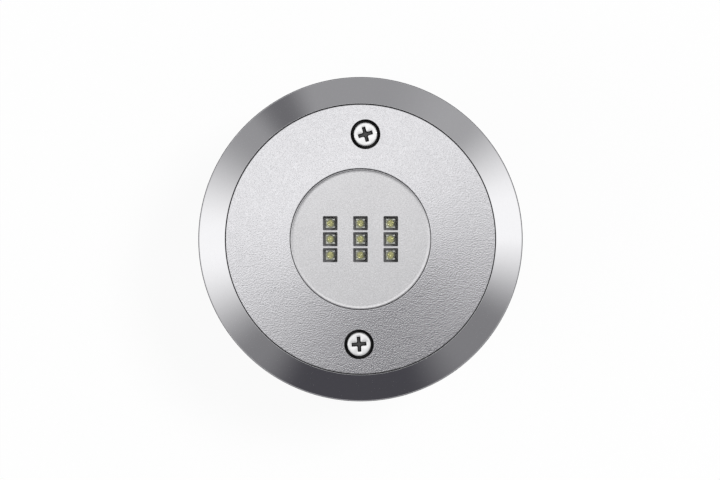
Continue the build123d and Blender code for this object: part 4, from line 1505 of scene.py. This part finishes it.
def seen_directly(tree):
    """One for rays of the camera and for rays off metal or through glass, else zero."""
    path = add(tree, "LightPath")
    seen = path.outputs["Is Camera Ray"]
    for ray in ("Is Glossy Ray", "Is Transmission Ray"):
        seen = maths(tree, "MAXIMUM", seen, path.outputs[ray])
    return seen


def floor():
    """A wide plain floor under the sleeve's foot."""
    made = bmesh.new()
    corners = [(-1, -1), (1, -1), (1, 1), (-1, 1)]
    made.faces.new([made.verts.new((floor_reach * x, floor_reach * y, 0)) for x, y in corners])
    ground = bare("studio_floor", mesh_from(made, "studio_floor"))
    ground.data.materials.append(floor_material())


def card_material(name):
    """A dark card that lets light past where its cover fades out."""
    made, tree = blank(name)
    cover = add(tree, "Attribute", attribute_name="cover").outputs["Fac"]
    dark = add(tree, "Emission", {"Color": (*card_colour, 1), "Strength": 1.0})
    output(tree, mixed(tree, cover, see_through(tree), dark.outputs[0]))
    return made


def card(name, points_of_ring, cover_of_ring):
    """A round card seen only in reflections, from rings of points and the cover at each point."""
    made = bmesh.new()
    bridge(made, [[made.verts.new(point) for point in ring] for ring in points_of_ring], False)
    dark = bare(name, mesh_from(made, name))
    values = dark.data.attributes.new("cover", "FLOAT", "POINT")
    values.data.foreach_set("value", [value for ring in cover_of_ring for value in ring])
    dark.data.materials.append(card_material(name))
    dark.visible_camera = False
    dark.visible_diffuse = False
    dark.visible_transmission = False
    dark.visible_shadow = False
    dark.visible_volume_scatter = False


def smooth(value, start, end):
    """A soft step from 0 at start to 1 at end."""
    share = min(1, max(0, (value - start) / (end - start)))
    return share * share * (3 - 2 * share)


def between(value, rise, fall):
    """A soft step up over one range and down again over another."""
    return smooth(value, *rise) * (1 - smooth(value, *fall))


def lower_side(tilt, turn):
    """Cover of the graduated card on the side of the lower screw; its soft edge is near the zenith."""
    near = smooth(tilt * cos(radians(turn - lower_middle)), *lower_soft_edge)
    round_it = (lower_cover + lower_core_more * between(turn, *lower_core)) * between(turn, *lower_turns)
    far = smooth(tilt, *lower_tilts)
    return near * (1 - far) + round_it * far


def upper_side(tilt, turn):
    """Cover of the lighter card on the side of the upper screw."""
    across = between(turn, *upper_turns) - upper_thinner * between(turn, *upper_thin_turns)
    return upper_cover * across * smooth(tilt, *upper_tilts)


def strip(tilt, turn):
    """Cover of a narrow strip on the upper left."""
    return strip_cover * (1 - smooth(abs(turn - strip_middle), *strip_fade)) * smooth(tilt, *strip_tilts)


def horizon(tilt, turn):
    """Cover of a grey band round the horizon, thinner at both sides, which draws the polished edge."""
    return (horizon_cover - horizon_side_less * cos(radians(turn)) ** 2) * smooth(tilt, *horizon_tilts)


def sky_cover(tilt, turn):
    """Cover of all the cards above the light together; those overhead thin out towards the horizon."""
    low = 1 - overhead_less * smooth(tilt, *overhead_tilts)
    past = 1 - horizon(tilt, turn)
    for cover in (lower_side(tilt, turn), upper_side(tilt, turn), strip(tilt, turn)):
        past *= 1 - cover * low
    return 1 - past


def sky_card():
    """The cards above the light, as one dome round it that stands on the floor."""
    tilts = [tilt_step * k for k in range(round(90 / tilt_step) + 1)]
    turns = [turn_step * k for k in range(round(360 / turn_step))]
    points = []
    covers = []
    for tilt in tilts:
        some = turns if tilt else turns[:1]
        reach = sky_radius * sin(radians(tilt))
        height = grid_top + sky_radius * cos(radians(tilt))
        points.append([(*on_circle(reach, turn), height) for turn in some])
        covers.append([sky_cover(tilt, turn) for turn in some])
    card("sky_card", points, covers)


def floor_shade_card():
    """A dark ring on the floor round the light, seen only in reflections: a painted shadow of the floor
    round the foot, which draws the lower half of the polished edge.
    """
    near, far = ground_reach
    radii = [near + (far - near) * k / ground_rings for k in range(ground_rings + 1)]
    radii.insert(0, sleeve_radius + mm)
    points = [ring_of(radius, mm / 2, ground_points) for radius in radii]
    covers = [[ground_cover * (1 - smooth(radius, near, far))] * ground_points for radius in radii]
    card("floor_shade_card", points, covers)


def world():
    """A white world that the camera and metal see in full, and that lights the rest at a plain level."""
    made = bpy.data.worlds.new("studio")
    bpy.context.scene.world = made
    made.use_nodes = True
    tree = made.node_tree
    tree.nodes.clear()
    strength = add(tree, "MapRange", {"Value": seen_directly(tree), "To Min": sky_light, "To Max": 1.0})
    background = add(tree, "Background", {"Color": white, "Strength": strength.outputs[0]})
    add(tree, "OutputWorld", {"Surface": background.outputs[0]})


def lamp(name, turn, tilt, away, size, power):
    """A soft square lamp that faces the light, and doesn't show in metal."""
    data = bpy.data.lights.new(name, "AREA")
    data.shape = "SQUARE"
    data.size = size
    data.energy = power
    made = bpy.data.objects.new(name, data)
    middle = Vector((0, 0, grid_top))
    out = Vector((*on_circle(sin(radians(tilt)), turn), cos(radians(tilt))))
    made.location = middle + away * out
    made.rotation_mode = "QUATERNION"
    made.rotation_quaternion = (-out).to_track_quat("-Z", "Y")
    made.visible_glossy = False
    bpy.context.scene.collection.objects.link(made)


def camera():
    """A long lens straight above the face, framed as the photograph is."""
    data = bpy.data.cameras.new("camera")
    data.lens = camera_lens
    data.sensor_width = camera_sensor
    made = bpy.data.objects.new("camera", data)
    width = frame_pixels[0] * metres_per_pixel
    away = width * camera_lens / camera_sensor
    right, up = (pixels * metres_per_pixel for pixels in object_shift_pixels)
    made.location = (-right, -up, trim_top + away)
    bpy.context.scene.collection.objects.link(made)
    bpy.context.scene.camera = made


floor()
sky_card()
floor_shade_card()
world()
lamp("key_lamp", 30.0, 24.0, 1.5, 0.35, 12.0)
lamp("fill_lamp", 200.0, 50.0, 1.8, 1.0, 6.0)
camera()
bpy.context.scene.view_settings.view_transform = "Standard"
